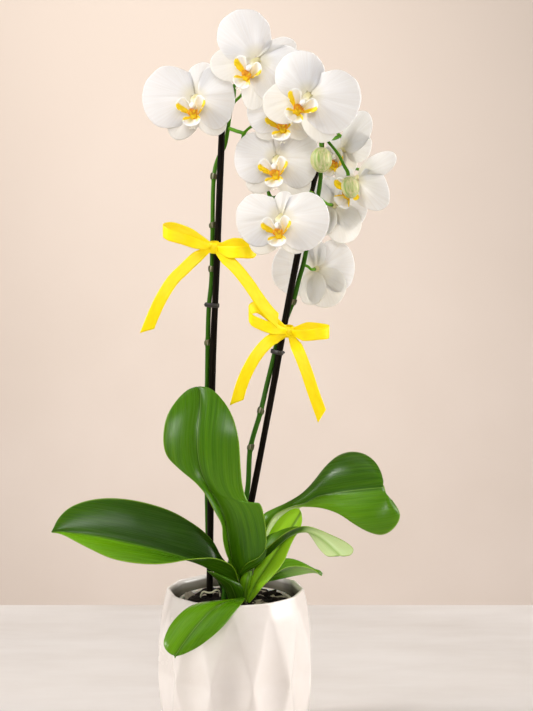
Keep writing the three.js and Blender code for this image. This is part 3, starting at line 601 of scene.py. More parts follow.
def makeBark():
    pick = random.Random(bark["seed"])
    pile = newPile()
    core, faces = spun(bark["core"], 64)
    # the core between the chips takes the most painted shade
    heapOn(pile, core, faces, lie=core, age=0.1)
    for k in range(bark["chips"]):
        points, faces = chipSkin(pick)
        reach = (bark["reach"] - 4) * math.sqrt((k + 0.5) / bark["chips"])
        angle = k * bark["turn"] + pick.uniform(-0.2, 0.2)
        place = [reach * math.cos(angle), reach * math.sin(angle),
                 bark["surface"] - 0.5 - 0.03 * reach + pick.uniform(-3, 3.4)]
        seat = turned(points, pick.uniform(-0.6, 0.6), pick.uniform(-0.5, 0.5), pick.uniform(0, 6.28))
        heapOn(pile, seat + place, faces, lie=points + pick.uniform(0, 90), age=pick.random())
    makePiece("bark_chips", pile, [barkFinish()], ["bark"])

    pile = newPile()
    for spot in moss["tufts"]:
        for _ in range(moss["strands"]):
            start = np.array(spot) + [pick.uniform(-5, 5), pick.uniform(-2, 4), pick.uniform(-1, 1.5)]
            bend = np.array([pick.uniform(-4, 4), pick.uniform(-3, 3), pick.uniform(0.5, 3.5)])
            end = start + np.array([pick.uniform(-6, 6), pick.uniform(-4, 4), pick.uniform(-1, 2)])
            route = curveThrough([start, (start + end) / 2 + bend, end], np.linspace(0, 1, 7))
            heapTube(pile, route, np.full(7, pick.uniform(0.25, 0.5)), 5, shift=pick.uniform(0, 50))
    makePiece("moss_tufts", pile, [mossFinish()])


makeBark()

root = {
    "radius": 0.85, "tones": ["#D6D0B4", "#9C9D72"],
    "route": [[-34, 8, 126], [-33, 6, 139], [-30, 3, 146.4], [-26, 1.2, 146], [-22, 0.8, 146.2],
              [-18, 1.6, 148.4], [-15, 5, 146], [-14, 8, 128]],
}


def rootFinish():
    material, tree, shader = newFinish("airRoot", Roughness=0.6)
    where = markOf(tree, "lie")
    felt = noiseOf(tree, stretched(tree, where, (1, 1, 0.3)), 1.0)
    paint(tree, shader, mixed(tree, felt, *root["tones"]), between(tree, felt, 0.3, 0.7, 0.5, 0.75))
    addBump(tree, shader, noiseOf(tree, where, 3.0), 0.4, 0.0004)
    return material


def makeRoot():
    shares = np.linspace(0, 1, 48)
    centres, _, _ = evenRoute(root["route"], shares)
    radii = root["radius"] * (1 + 0.12 * wander(shares * 20, 0 * shares, 5))
    pile = newPile()
    heapTube(pile, centres, radii, 10)
    makePiece("air_root_loop", pile, [rootFinish()], ["air_root"])


makeRoot()
print("bark and root made")


# the two canes

cane = {"radius": 3.0, "cap": 1.6, "jointEvery": 118,
        # the paler streaks are partly the cane's grain and partly painted highlight along the glossy cane
        "streaks": [(0.4, "#0B0906"), (0.58, "#17120C"), (0.74, "#2E261B"), (0.9, "#574B3B")]}
stakes = {
    "stake_left": [[-26.5, 9.5, 60], [-24.5, 8, 140], [-20.6, 6, 362], [-17.2, 4, 437],
                   [-14.2, 2, 508], [-11, 0, 583]],
    "stake_right": [[-20, -2, 60], [-4.5, 0, 139], [14.7, 3, 231], [33, 6, 326], [49.5, 8, 418],
                    [67.3, 10, 507], [77.6, 11, 549]],
}


def stakeFinish():
    material, tree, shader = newFinish("darkCane", Specular_IOR_Level=0.04)
    where = markOf(tree, "lie")
    streak = noiseOf(tree, stretched(tree, where, (1, 1, 0.03)), 1.1, 4.0, 0.6)
    # grain streaks, the pale ones partly painted highlight
    paint(tree, shader, rampOf(tree, streak, cane["streaks"]), between(tree, streak, 0.3, 0.8, 0.25, 0.5))
    addBump(tree, shader, streak, 0.4, 0.0005)
    return material


def makeStakes():
    finish = stakeFinish()
    for name, route in stakes.items():
        shares = np.linspace(0, 1, 120)
        centres, _, length = evenRoute(route, shares)
        joint = np.exp(-((shares * length % cane["jointEvery"] - 60) / 2.2) ** 2)
        swell = 1 + 0.03 * wander(shares * 25, 0 * shares, name) + 0.06 * joint
        pile = newPile()
        heapTube(pile, centres, roundedEnds(cane["radius"], shares, length, cane["cap"]) * swell, 20)
        makePiece(name.replace("stake", "cane"), pile, [finish], [name])


makeStakes()
print("canes made")


# leaves: left margin, middle and right margin, and the painted light and shade on each side and the underside, from
# foot to tip (0 plain green, -1 darkest painted shade, 1 painted light, 1.5 brightest painted light; on the
# underside, light values also bring out its own pale colour)

leaves = {
    "leaf_1": {
        "left": [[5.9, -9, 151.1], [2.4, -14, 165.6], [-3, -20, 176.9], [-7.9, -27, 190.2],
                 [-10.7, -31, 204.1], [-11.4, -34, 217.7], [-18.4, -36, 231.9], [-25.6, -36.5, 245.8],
                 [-35.1, -36, 257.2], [-50.4, -35.5, 269.9], [-61.5, -34.5, 282.1], [-64.3, -32, 298.2],
                 [-61.1, -27, 316.7], [-52.4, -20, 330.4], [-43.5, -14, 338.4], [-36.8, -10, 341]],
        "middle": [[7.3, -9, 151.1], [4.6, -12, 164.1], [-0.4, -13, 173.8], [-4.1, -15, 186.5],
                   [-6.3, -18, 200.3], [-8.9, -21, 215.9], [-12.9, -24, 230.5], [-18.8, -25.5, 241.9],
                   [-24.2, -26.5, 251.3], [-30.5, -27, 266.2], [-33.6, -27, 283.7], [-33.6, -24.5, 303.5],
                   [-31.4, -20, 320.3], [-30.7, -15.5, 331.7], [-31.7, -11.5, 338.6], [-34.1, -9, 341.1]],
        "right": [[8.8, -10, 151.3], [8.4, -16, 167], [15.9, -23, 175.3], [25.1, -27, 183.7],
                  [29.2, -28, 198.8], [28.7, -29, 213.9], [26.5, -30, 228], [22.8, -31, 237.4],
                  [15.1, -30, 235.8], [8.3, -30, 248.3], [5.6, -32, 272.5], [3.8, -32, 298.2],
                  [-2.6, -27, 318.5], [-12.2, -21, 332.4], [-22.4, -15, 340.4], [-30.9, -10, 341.5]],
        "leftPaintedShading": [-0.15, -0.1, 0, 0.05, 0], "rightPaintedShading": [-0.35, 0, 0.15, 0, -0.15],
        "underPaintedShading": [0.1, 0.2, 0.2],
    },
    "leaf_2": {
        "left": [[3.7, -15, 158.3], [-0.5, -30, 176.9], [-7.6, -37, 184.2], [-19.1, -46, 189.8],
                 [-30.5, -55, 191.7], [-43.4, -64, 192.3], [-56.8, -71, 191.3], [-71, -77, 191.5],
                 [-89.3, -80, 193.4], [-107.9, -78.5, 197], [-125.2, -73, 203.4], [-141.1, -65, 209.6],
                 [-152.4, -57, 213.4], [-159.3, -52, 214.2], [-163.8, -50.5, 214.2]],
        "middle": [[4.6, -12, 155.6], [-3.5, -20, 162.3], [-12.6, -26, 168], [-22.4, -31, 174.4],
                   [-32.3, -34, 180.2], [-43.1, -37, 185.1], [-54.8, -39, 189.2], [-69.1, -41, 194],
                   [-86.1, -43, 199.1], [-104.9, -45, 204], [-122.7, -47, 208.5], [-139.6, -48.5, 211.8],
                   [-152, -49.5, 213.9], [-160, -50, 214.7], [-164.1, -50, 214.4]],
        "right": [[4.6, -12, 157.5], [-3.6, -16, 174.5], [-11.8, -18, 183.5], [-19.5, -22, 199.3],
                  [-29, -24, 210], [-41.6, -26.5, 219.8], [-57, -28.5, 229], [-75.1, -30, 235.8],
                  [-96.6, -33, 241], [-117.2, -35.5, 242.6], [-135.9, -38.5, 240.2], [-150, -42, 234.3],
                  [-158.6, -46, 225.7], [-162.4, -49, 218.1], [-164.2, -50, 215]],
        "leftPaintedShading": [-0.4, -0.4, 0.1, 0.6, 0.7], "rightPaintedShading": [-1, -1, -0.9, -0.5, -0.2],
        "underPaintedShading": [-0.6, -0.4, 0.2],
    },
    "leaf_3": {
        "left": [[11.8, 8, 158.3], [16.5, 13, 185.8], [20.2, 15, 204.6], [26.4, 15, 217.5],
                 [34.4, 15, 222.2], [42.8, 14, 226.2], [52.2, 13, 231.2], [62.5, 11, 238.2],
                 [72.7, 10, 248.9], [83.9, 10, 263.5], [95.6, 11, 273.8], [108, 8, 278.2], [119.8, 3, 277],
                 [129.1, -5, 271.3], [134.3, -14, 263], [136.1, -21, 255.4]],
        "middle": [[13.7, 5, 157.1], [20.3, 7, 177.7], [27.8, 8, 192.7], [34.4, 8, 201.3], [41.8, 8, 210.3],
                   [50.3, 7, 217.7], [57.7, 6, 223.7], [66, 3, 229.8], [76.1, -1, 236.3], [88, -6, 240],
                   [99.8, -11, 243], [111.5, -16, 245.8], [121.3, -20, 248], [128.4, -23, 249.5],
                   [133.3, -25, 250.4], [136.3, -27, 251.1]],
        "right": [[15.6, 0, 157.4], [21.3, -6, 185.4], [27.3, -8, 200.9], [31, -8, 211.3],
                  [37.1, -7, 221.4], [45.4, -7, 225.9], [55.6, -8, 229.2], [67.5, -10, 229.7],
                  [80.3, -15, 229.3], [95.7, -21, 225.2], [110, -28, 216.9], [123.4, -33, 210.6],
                  [135, -36, 209.1], [145, -36, 215.3], [150.5, -34, 226.5], [143.9, -30.5, 239.1]],
        "leftPaintedShading": [0.3, 0.3, -0.1, -0.5, -0.3], "rightPaintedShading": [0.5, 0.6, 0.5, 0.2, 0.1],
        "underPaintedShading": [1, 1, 0.8, 0.4], "arch": 0.16,
    },
    "leaf_4": {
        "left": [[11.2, -18, 142.1], [9.6, -26, 147.4], [8.8, -43, 150], [7.2, -58, 151.4],
                 [4.6, -71, 151.4], [-0.4, -79, 146.8], [-6.4, -87, 140.8], [-13.7, -95, 135.2],
                 [-21.8, -101, 130], [-30.3, -106, 125.2], [-37.9, -110, 122.2], [-43.4, -112.5, 120.4],
                 [-46.8, -113.8, 119.8], [-48.7, -114.4, 119.4], [-49.5, -114.8, 117.9]],
        "middle": [[10.2, -16, 140.6], [8, -24, 146.9], [2.8, -39, 149.4], [-4.6, -54, 151.5],
                   [-12.7, -67, 152.2], [-19.5, -77, 149.4], [-25.8, -85, 144.8], [-31.7, -93, 139.8],
                   [-37, -100, 134.6], [-41.7, -105.5, 129.5], [-45, -109, 125.7], [-47.3, -111.5, 122.6],
                   [-49, -113.5, 120.4], [-49.5, -114.3, 119.3], [-49.8, -114.8, 117.8]],
        "right": [[8.3, -14, 142], [6.2, -24, 147.4], [-0.5, -34, 148.5], [-9.4, -44, 149.8],
                  [-19.4, -54, 151.9], [-29.8, -63, 153.5], [-39.6, -73, 152.1], [-48.4, -83, 147.1],
                  [-54.9, -92, 140.7], [-58.8, -100, 133.7], [-60, -106, 128.1], [-58, -110, 124.1],
                  [-53.8, -112.5, 121], [-50.3, -114, 119.6], [-50.2, -114.8, 117.9]],
        "leftPaintedShading": [0.15, 0.15, 0.2, 0.2], "rightPaintedShading": [0.3, 0.35, 0.4, 0.4],
        "underPaintedShading": [0.3, 0.3, 0.3], "arch": 0.11,
    },
    "leaf_5": {
        "left": [[12.4, -1, 150], [17.5, 0, 179.3], [22.2, -1, 190.9], [29.7, -4, 201], [38, -7, 205.4],
                 [45.4, -11, 209.1], [51.8, -15, 211.6], [58.2, -18, 212.7], [63.2, -21, 210.8],
                 [67.7, -22.5, 207.8], [71.4, -24, 203], [75.4, -26, 197], [80, -28, 191.4],
                 [84.4, -31, 188.3], [89.8, -33.5, 188.7], [93.4, -34.5, 189.5]],
        "middle": [[13.8, -3, 149.6], [19.4, -6, 167.4], [25, -9, 178.1], [32.4, -13, 186.5],
                   [39.8, -16, 194.3], [46.2, -19, 200.7], [52.6, -22, 205.6], [59, -24, 208.5],
                   [65.3, -26, 209.7], [71.7, -27.5, 208.7], [78.1, -29, 205.3], [84.4, -30.5, 200.3],
                   [89.8, -32, 195.2], [93.4, -33.5, 191.9], [95.5, -34.5, 189.9], [96.1, -35, 189.3]],
        "right": [[14.8, -8, 151.8], [19.5, -16, 179.2], [25.1, -20, 188.6], [32.4, -23, 196.3],
                  [39.7, -26, 203.5], [47, -28, 209.2], [54.3, -29, 213.4], [61.6, -30, 215.5],
                  [68.8, -31, 215.4], [77.9, -32, 212.4], [87.9, -33, 208.2], [97, -34, 204.2],
                  [104.2, -35, 199.9], [108.2, -35.5, 195.4], [106.1, -36, 190.8], [100.2, -35.5, 189.4]],
        "leftPaintedShading": [0.3, 0.3, 0, 0], "rightPaintedShading": [-0.6, -0.8, -0.8, -0.3],
        "underPaintedShading": [-1, -1, -0.6, 0.9, 1, 1],
    },
    "leaf_6": {
        "left": [[12.7, 7, 143.2], [18.3, 18, 153.9], [26.8, 30, 160.7], [35.4, 40, 165.6],
                 [44.2, 48, 167.6], [53.9, 53, 166.2], [63.2, 55, 162.6], [71, 55.5, 158.3],
                 [76.3, 55, 155.6], [80.7, 54, 154.4], [83.6, 54, 151.9]],
        "middle": [[13.7, 4, 141.1], [21.2, 11, 147.9], [30.6, 19, 152.1], [38.2, 25, 151.8],
                   [45.9, 31, 151.7], [54.6, 37, 152.3], [62.4, 42, 153], [69.3, 46, 153.9],
                   [74.7, 49, 153.8], [79.6, 51, 152.4], [83, 53, 150.4]],
        "right": [[16.5, 2, 141.6], [23.1, 5, 151.4], [31.5, 11, 157.5], [39.6, 16, 162.1],
                  [47.2, 23, 164.8], [55.4, 30, 164.7], [64.2, 36, 162.6], [71, 41, 159.7],
                  [76.5, 45, 156.1], [80.1, 47.5, 152], [82.5, 51, 149.7]],
        "leftPaintedShading": [-0.1, 0.15, 0.35, 0.35], "rightPaintedShading": [0, 0.1, 0.25], "underPaintedShading": [-0.2, 0, 0.25, 0.4],
    },
    "leaf_7": {
        "left": [[10.6, -12, 140.5], [11.1, -11.5, 151.7], [13.9, -11, 162], [19, -10, 171.2],
                 [24.1, -8, 180.7], [27.3, -5.5, 192.8], [31.1, -3.5, 201.9], [36.2, -2, 210.5],
                 [42.2, -1.5, 218], [49.2, -2.5, 223.8], [55.6, -4, 227.1], [59.8, -6.5, 227]],
        "middle": [[11.6, -13, 139.8], [14.8, -13.5, 148.4], [19.5, -13.5, 157.9], [25, -13, 166.7],
                   [31, -12, 175.5], [37.1, -11, 184.2], [42.6, -10, 192.9], [47.7, -9, 201.2],
                   [52.4, -8, 209], [56.5, -7.5, 215.9], [59.6, -7, 221], [61, -7, 224.7]],
        "right": [[12.5, -15, 139.4], [19.1, -21, 148.5], [26.4, -25, 158.9], [33.8, -25.5, 167],
                  [40.7, -24.5, 175.1], [46.2, -22, 183], [49.9, -19, 191.6], [54.1, -16, 200.3],
                  [59.2, -13, 208.1], [62, -10.5, 215.1], [62.1, -8.5, 220.3], [61.7, -7.5, 223.4]],
        "leftPaintedShading": [1.1, 1.3, 1.5, 1.5], "rightPaintedShading": [1.1, 1.4, 1.6, 1.5], "underPaintedShading": [0.5, 0.5, 0.5],
    },
}
hems = {  # a margin that rolls over
    "leaf_1": {
        "left": [[28.3, -30.5, 195.2], [24.4, -31, 189.3], [19.4, -30.5, 185.4], [13.4, -28, 181.9],
                 [8.1, -24, 176.4], [4.3, -19, 168.9]],
        "middle": [[29, -29.5, 194.5], [26.5, -29.5, 187.5], [21.9, -28.5, 182.2], [15.4, -26, 177.8],
                   [9.9, -22.5, 173.1], [5.2, -18.5, 167.6]],
        "right": [[29.5, -29, 193.9], [27.6, -28, 186], [23.5, -26.5, 179.8], [16.8, -24, 175.3],
                  [11.1, -21, 171], [5.9, -18, 166.7]],
        "leftPaintedShading": [-0.3, -0.2, -0.3], "rightPaintedShading": [-0.3, -0.2, -0.3], "underPaintedShading": [-0.5, -0.5, -0.5],
    },
}
leafShape = {"rows": 110, "columns": 37, "middle": 1.7, "margin": 0.7, "furrow": 0.9, "wave": 0.5, "arch": 0.07}
leafTone = {"deep": "#2E5A05", "body": "#416F07", "light": "#57870C", "margin": "#93B92E", "under": "#CBE09F",
            # a painted-shade green, a painted-light green and the brightest painted-light green
            "paintedShadeGreen": "#163400", "paintedLightGreen": "#7FBA14", "young": "#A9E22C",
            # the first rib green is painted shade beside the midrib on the upper face; the underside rib and the
            # rib line are the midrib's own colour
            "ribFurrowShade": "#24480A", "ribUnder": "#9DBF6A", "ribLine": "#86AE45"}


def leafGrid(leaf, seed):
    rows, columns = leafShape["rows"], leafShape["columns"]
    t = np.linspace(0, 1, rows)
    left, middle, right = (curveThrough(leaf[key], t) for key in ("left", "middle", "right"))
    ahead = unit(np.gradient(middle, axis=0))
    across = np.linspace(-1, 1, columns)
    across = np.sign(across) * np.abs(across) ** 0.9
    s = np.abs(across)[None]
    isLeft = (across < 0)[None, :, None]
    chord = np.where(isLeft, left[:, None], right[:, None]) - middle[:, None]
    leftUp, rightUp = unit(np.cross(ahead, left - middle)), unit(np.cross(right - middle, ahead))
    up = np.where(isLeft, leftUp[:, None], rightUp[:, None])
    wide = np.linalg.norm(chord, axis=-1)
    rise = leaf.get("arch", leafShape["arch"]) * wide * 4 * s * (1 - s)
    rise = rise - leafShape["furrow"] * np.clip(wide / 12, 0.1, 1) * np.exp(-(s * wide / 1.9) ** 2)
    wave = wander(t[:, None] * 7, np.sign(across) * 2, seed)
    rise = rise + leafShape["wave"] * np.clip(wide / 25, 0, 1) * s ** 2 * wave
    grid = middle[:, None] + chord * s[..., None] + up * rise[..., None]
    soft = ((1 - s) ** 4 * 0.8)[..., None]
    for _ in range(4):  # the fold along the midrib is rounded
        grid[:, 1:-1] += ((grid[:, 2:] + grid[:, :-2]) / 2 - grid[:, 1:-1]) * soft[:, 1:-1]
    for _ in range(3):  # and so are kinks along the leaf
        grid[1:-1] += ((grid[2:] + grid[:-2]) / 2 - grid[1:-1]) * 0.5
    gone = np.concatenate([[0], np.cumsum(np.linalg.norm(np.diff(middle, axis=0), axis=1))])[:, None]
    lie = np.stack([np.sign(across) * s * wide, seed * 40.0 + 0 * wide, gone + 0 * wide], -1)
    edge = np.maximum(s + 0 * wide, smoothStep(0.985, 1, t)[:, None])
    thick = leafShape["middle"] + (leafShape["margin"] - leafShape["middle"]) * s ** 1.5 + 0 * wide
    thick = thick * (0.35 + 0.65 * np.clip(wide / 6, 0, 1))
    tones = [valuesThrough(leaf[key], t)[:, None] + 0 * wide for key in ("leftPaintedShading", "rightPaintedShading", "underPaintedShading")]
    blend = smoothStep(-0.04, 0.04, across)[None]
    tone = np.concatenate([tones[2].ravel(), (tones[0] * (1 - blend) + tones[1] * blend).ravel()])
    return grid, lie, edge, thick, tone


def leafFinish():
    material, tree, shader = newFinish(
        "leafSkin", Roughness=0.3, Specular_IOR_Level=0.16, Coat_Weight=0.14, Coat_Roughness=0.22,
        Subsurface_Weight=0.05, Subsurface_Scale=0.004)
    where = markOf(tree, "lie")
    bands = noiseOf(tree, stretched(tree, where, (0.28, 1, 0.012)), 1.0, 4.0, 0.6)
    fine = noiseOf(tree, stretched(tree, where, (1.3, 1, 0.02)), 1.0, 3.0, 0.6)
    patch = noiseOf(tree, where, 0.02, 2.0)
    colour = rampOf(tree, bands, [(0.3, leafTone["deep"]), (0.5, leafTone["body"]), (0.75, leafTone["light"])])
    colour = mixed(tree, between(tree, patch, 0.35, 0.7, 0.0, 0.5), colour, leafTone["body"])
    # painted light and shade: below 0 the colour goes toward a painted-shade green, above 0 toward painted-light
    # greens
    tone = markOf(tree, "tone")
    colour = mixed(tree, between(tree, tone, 0, -1, 0.0, 0.85), colour, leafTone["paintedShadeGreen"])
    colour = mixed(tree, between(tree, tone, 0, 1, 0.0, 0.8), colour, leafTone["paintedLightGreen"])
    colour = mixed(tree, between(tree, tone, 1, 1.5), colour, leafTone["young"])
    colour = mixed(tree, between(tree, fine, 0.55, 0.75, 0.0, 0.22), colour, leafTone["light"])
    # the underside's own pale colour, only as far as the painted light reaches
    under = markOf(tree, "under")
    pale = mathOf(tree, "MULTIPLY", under, between(tree, tone, 0, 1, 0.0, 0.95))
    colour = mixed(tree, pale, colour, leafTone["under"])
    # painted shade in the furrow beside the midrib on the upper face; the underside's keel keeps its own pale green
    off = mathOf(tree, "ABSOLUTE", addNode(tree, "SeparateXYZ", {0: where}).outputs[0])
    ribFurrowShade = between(tree, off, 0.6, 2.2, 0.55, 0.0)
    colour = mixed(tree, ribFurrowShade, colour, mixed(tree, under, leafTone["ribFurrowShade"], leafTone["ribUnder"]))
    colour = mixed(tree, between(tree, off, 0.25, 0.55, 0.45, 0.0), colour, leafTone["ribLine"])
    margin = between(tree, markOf(tree, "edge"), 0.97, 0.995, 0.0, 0.6)
    colour = mixed(tree, margin, colour, leafTone["margin"])
    paint(tree, shader, colour, between(tree, fine, 0.3, 0.7, 0.2, 0.36))
    height = mathOf(tree, "ADD", bands, mathOf(tree, "MULTIPLY", fine, 0.6))
    addBump(tree, shader, height, 0.3, 0.0008)
    return material


leafSkin = leafFinish()


def heapLeaf(pile, leaf, seed, rim=1.0, aside=0):
    grid, lie, edge, thick, tone = leafGrid(leaf, seed)
    lie = lie + [aside, 0, 0]  # off the midrib
    points, faces = sheetSkin(grid, thick)
    heapOn(pile, points, faces, lie=bothFaces(lie), edge=bothFaces(edge * rim), under=underMark(grid),
           tone=tone)


def makeLeaves():
    for name, leaf in leaves.items():
        pile = newPile()
        heapLeaf(pile, leaf, int(name[-1]))
        if name in hems:
            heapLeaf(pile, hems[name], 8, 0.985, 14)
        makePiece(name + "_blade", pile, [leafSkin], [name])


makeLeaves()


# the short stem, and the folded sheaths at the foot of the leaves

crown = {"x": 8, "y": -4, "foot": 104, "top": 150, "radius": 8, "rings": 14, "leafFoot": 18}
sheaths = {
    "sheath_front": {
        "left": [[9.3, -14, 141], [7.5, -17, 147.5], [5.8, -18, 155.7], [5.3, -18, 162.8], [8, -17, 167.7],
                 [13.8, -16.5, 171.2]],
        "middle": [[10, -15, 140.3], [9.3, -19, 147], [10.3, -21, 155.1], [11.7, -22, 162.8],
                   [13.1, -20, 168.4], [14.7, -17, 171.5]],
        "right": [[11.1, -16, 140.6], [11.4, -19, 147], [13.3, -20, 154.8], [14.7, -20, 161.4],
                  [15.8, -18.5, 167.1], [15.6, -17, 171.4]],
        "leftPaintedShading": [0.4, 0.7, 0.9], "rightPaintedShading": [0.3, 0.5, 0.8], "underPaintedShading": [0.6, 0.8, 0.9],
    },
    "sheath_left": {
        "left": [[-3.8, -12, 138.6], [-6, -14, 143.8], [-8.2, -17, 151.2], [-12.7, -21, 159.8],
                 [-19.9, -27, 168.7], [-25.2, -31, 174.8]],
        "middle": [[2.8, -18, 140.2], [1.1, -22, 146.9], [-1.1, -26, 154.5], [-4.2, -29, 161.8],
                   [-12.4, -32, 168.6], [-21.4, -34, 174.2]],
        "right": [[8.8, -15, 140.3], [8.4, -19, 147], [8, -22, 153.9], [5.3, -24, 160], [-5.2, -28, 166.7],
                  [-16.9, -32, 172.3]],
        "leftPaintedShading": [-0.6, -0.5, 0], "rightPaintedShading": [-0.6, -0.5, 0], "underPaintedShading": [-0.5, -0.4, 0.3],
    },
}


def makeCrown():
    pile = newPile()
    rings, x, y, low = (crown[key] for key in ("rings", "x", "y", "foot"))
    shares = np.linspace(0, 1, rings)
    centres = np.column_stack([np.full(rings, x), np.full(rings, y), low + shares * (crown["top"] - low)])
    # the crown is darkened with painted shade
    heapTube(pile, centres, crown["radius"] * (1 - 0.3 * shares ** 2), 20, edge=0.2, under=0.4, tone=-0.4)
    for order, sheath in enumerate(sheaths.values()):
        heapLeaf(pile, sheath, 20 + order, 0.97)
    keys = ("left", "middle", "right")
    foot = np.array([x, y, low + crown["leafFoot"]])
    for leaf in leaves.values():  # each leaf's foot is drawn down into the crown
        ends = [np.array(leaf[key][0], float) for key in keys]
        wide = [end + (foot - ends[1]) + (end - ends[1]) * 0.5 for end in ends]
        strips = [[(end * (1 - share) + down * share).tolist() for end, down in zip(ends, wide)]
                  for share in (1.0, 0.66, 0.33, 0.0)]
        drawn = {key: [strip[k] for strip in strips] for k, key in enumerate(keys)}
        drawn.update({"leftPaintedShading": [-0.3, 0], "rightPaintedShading": [-0.3, 0], "underPaintedShading": [-0.3, 0.1]})
        heapLeaf(pile, drawn, 30, 0.9)
    makePiece("crown_sheaths", pile, [leafSkin], ["crown"])


makeCrown()
print("leaves made")


# blooms: middle of the face, yaw and pitch, the column's own turn, the lip's clock,
# and each tepal's clock, length and width

blooms = {
    "A": {"at": [-32.5, -40, 602], "look": (-10, 0), "turn": -12, "lip": 175, "dorsal": [19, 31, 28],
          "petals": [[-90, 48.5, 53], [91, 33, 53]], "sepals": [[-149, 42, 28], [146, 39, 27]]},
    "B": {"at": [21.9, -64, 631.8], "look": (-10, 0), "turn": -18, "lip": 204, "dorsal": [67, 36, 22],
          "petals": [[-31, 47, 45], [124, 46, 50]], "sepals": [[-97, 43, 31], [187, 44, 24]]},
    "C": {"at": [45.2, -53, 589], "look": (-10, 0), "turn": -10, "lip": 175, "dorsal": [0, 34, 24],
          "petals": [[-88, 33.5, 38], [85, 28, 38]], "sepals": [[-131, 33, 24], [140, 30, 24]]},
    "D": {"at": [38.9, -41, 549], "look": (-7, 0), "turn": -14, "lip": 174, "dorsal": [15, 20.5, 16],
          "petals": [[-90, 37.8, 44], [94, 36.6, 49]], "sepals": [[-141, 38, 28], [145, 42, 30]]},
    "E": {"at": [41.9, -60, 497.6], "look": (-10, 0), "turn": -12, "lip": 175, "dorsal": [14, 22, 19],
          "petals": [[-100, 40.5, 45], [103, 42.5, 50]], "sepals": [[-143, 40, 28], [150, 37, 28]]},
    "F": {"at": [65.2, -90, 600], "look": (-10, 0), "turn": 2, "lip": 212, "dorsal": [5, 31.5, 25],
          "petals": [[-25, 38, 42], [106, 44, 53]], "sepals": [[-107, 41, 36], [158, 43, 30]]},
    "G": {"at": [99.5, -17, 557], "look": (-50, 5), "turn": 0, "lip": 190, "dorsal": [84, 35, 28],
          "petals": [[-100, 24, 26], [47, 43, 31]], "sepals": [[-140, 26, 22], [150, 24, 20]]},
    "H": {"at": [110, -40, 531], "look": (-40, -20), "turn": 0, "lip": 215, "dorsal": [66, 50, 20],
          "petals": [[-92, 24, 24], [128, 37, 38]], "sepals": [[-130, 24, 20], [178, 28, 20]]},
    "I": {"at": [92, 14, 507], "look": (148, -5), "turn": 0, "lip": 180, "dorsal": [20, 29, 20],
          "petals": [[-96, 34, 40], [85, 32, 38]], "sepals": [[-148, 38.5, 37], [146, 33, 26]]},
    "J": {"at": [76, 26, 448], "look": (155, 0), "turn": 0, "lip": 180, "dorsal": [0, 28, 20],
          "petals": [[-80, 37, 48], [92, 46, 48]], "sepals": [[-150, 38.5, 42], [168, 35, 27]]},
}
tepal = {"base": 1.9, "thick": 0.8, "edge": 0.35, "rays": 73, "steps": 28}
petalForm = {"spread": 97, "hold": 0.8, "depth": 1.0, "arch": 2.6, "droop": 2,
             "wave": 0.9, "ruffle": 0.8, "fold": 0.7}
sepalForm = {"spread": 78, "hold": 0.45, "depth": 0.0, "arch": 1.6, "droop": 1.6,
             "wave": 0.3, "ruffle": 0.25, "fold": 0.3}
# the cream tint toward the middle of a bloom is partly the tepals' and column's own colour and partly painted shade
# in the throat
bloomTone = {"petal": ["#FAF9F7", "#F4F1ED"], "cream": "#ECE3C2",
             "column": ["#FFFEFB", "#F6F1E4"], "columnFoot": "#D9CF8E"}


def bloomAxes(bloom):
    yaw, pitch = (math.radians(v) for v in bloom["look"])
    out = np.array([math.sin(yaw) * math.cos(pitch), -math.cos(yaw) * math.cos(pitch), math.sin(pitch)])
    right = unit(np.cross([0, 0, 1], out))
    return np.array(bloom["at"], float), right, np.cross(out, right), out


def fromBloom(bloom, points):
    at, right, up, out = bloomAxes(bloom)
    points = np.asarray(points, float)
    return at + points[..., :1] * right + points[..., 1:2] * up + points[..., 2:] * out


def headSeat(bloom):  # column and lip look a little to one side of the face
    yaw, pitch = bloom["look"]
    head = {"at": bloom["at"], "look": (yaw + bloom["turn"], pitch)}
    return lambda points: fromBloom(head, clockTurned(np.asarray(points, float), bloom["lip"]))


def clockTurned(points, clock):
    turn = -math.radians(clock - 180)
    c, s = math.cos(turn), math.sin(turn)
    x, y, z = points[..., 0], points[..., 1], points[..., 2]
    return np.stack([x * c - y * s, x * s + y * c, z], -1)


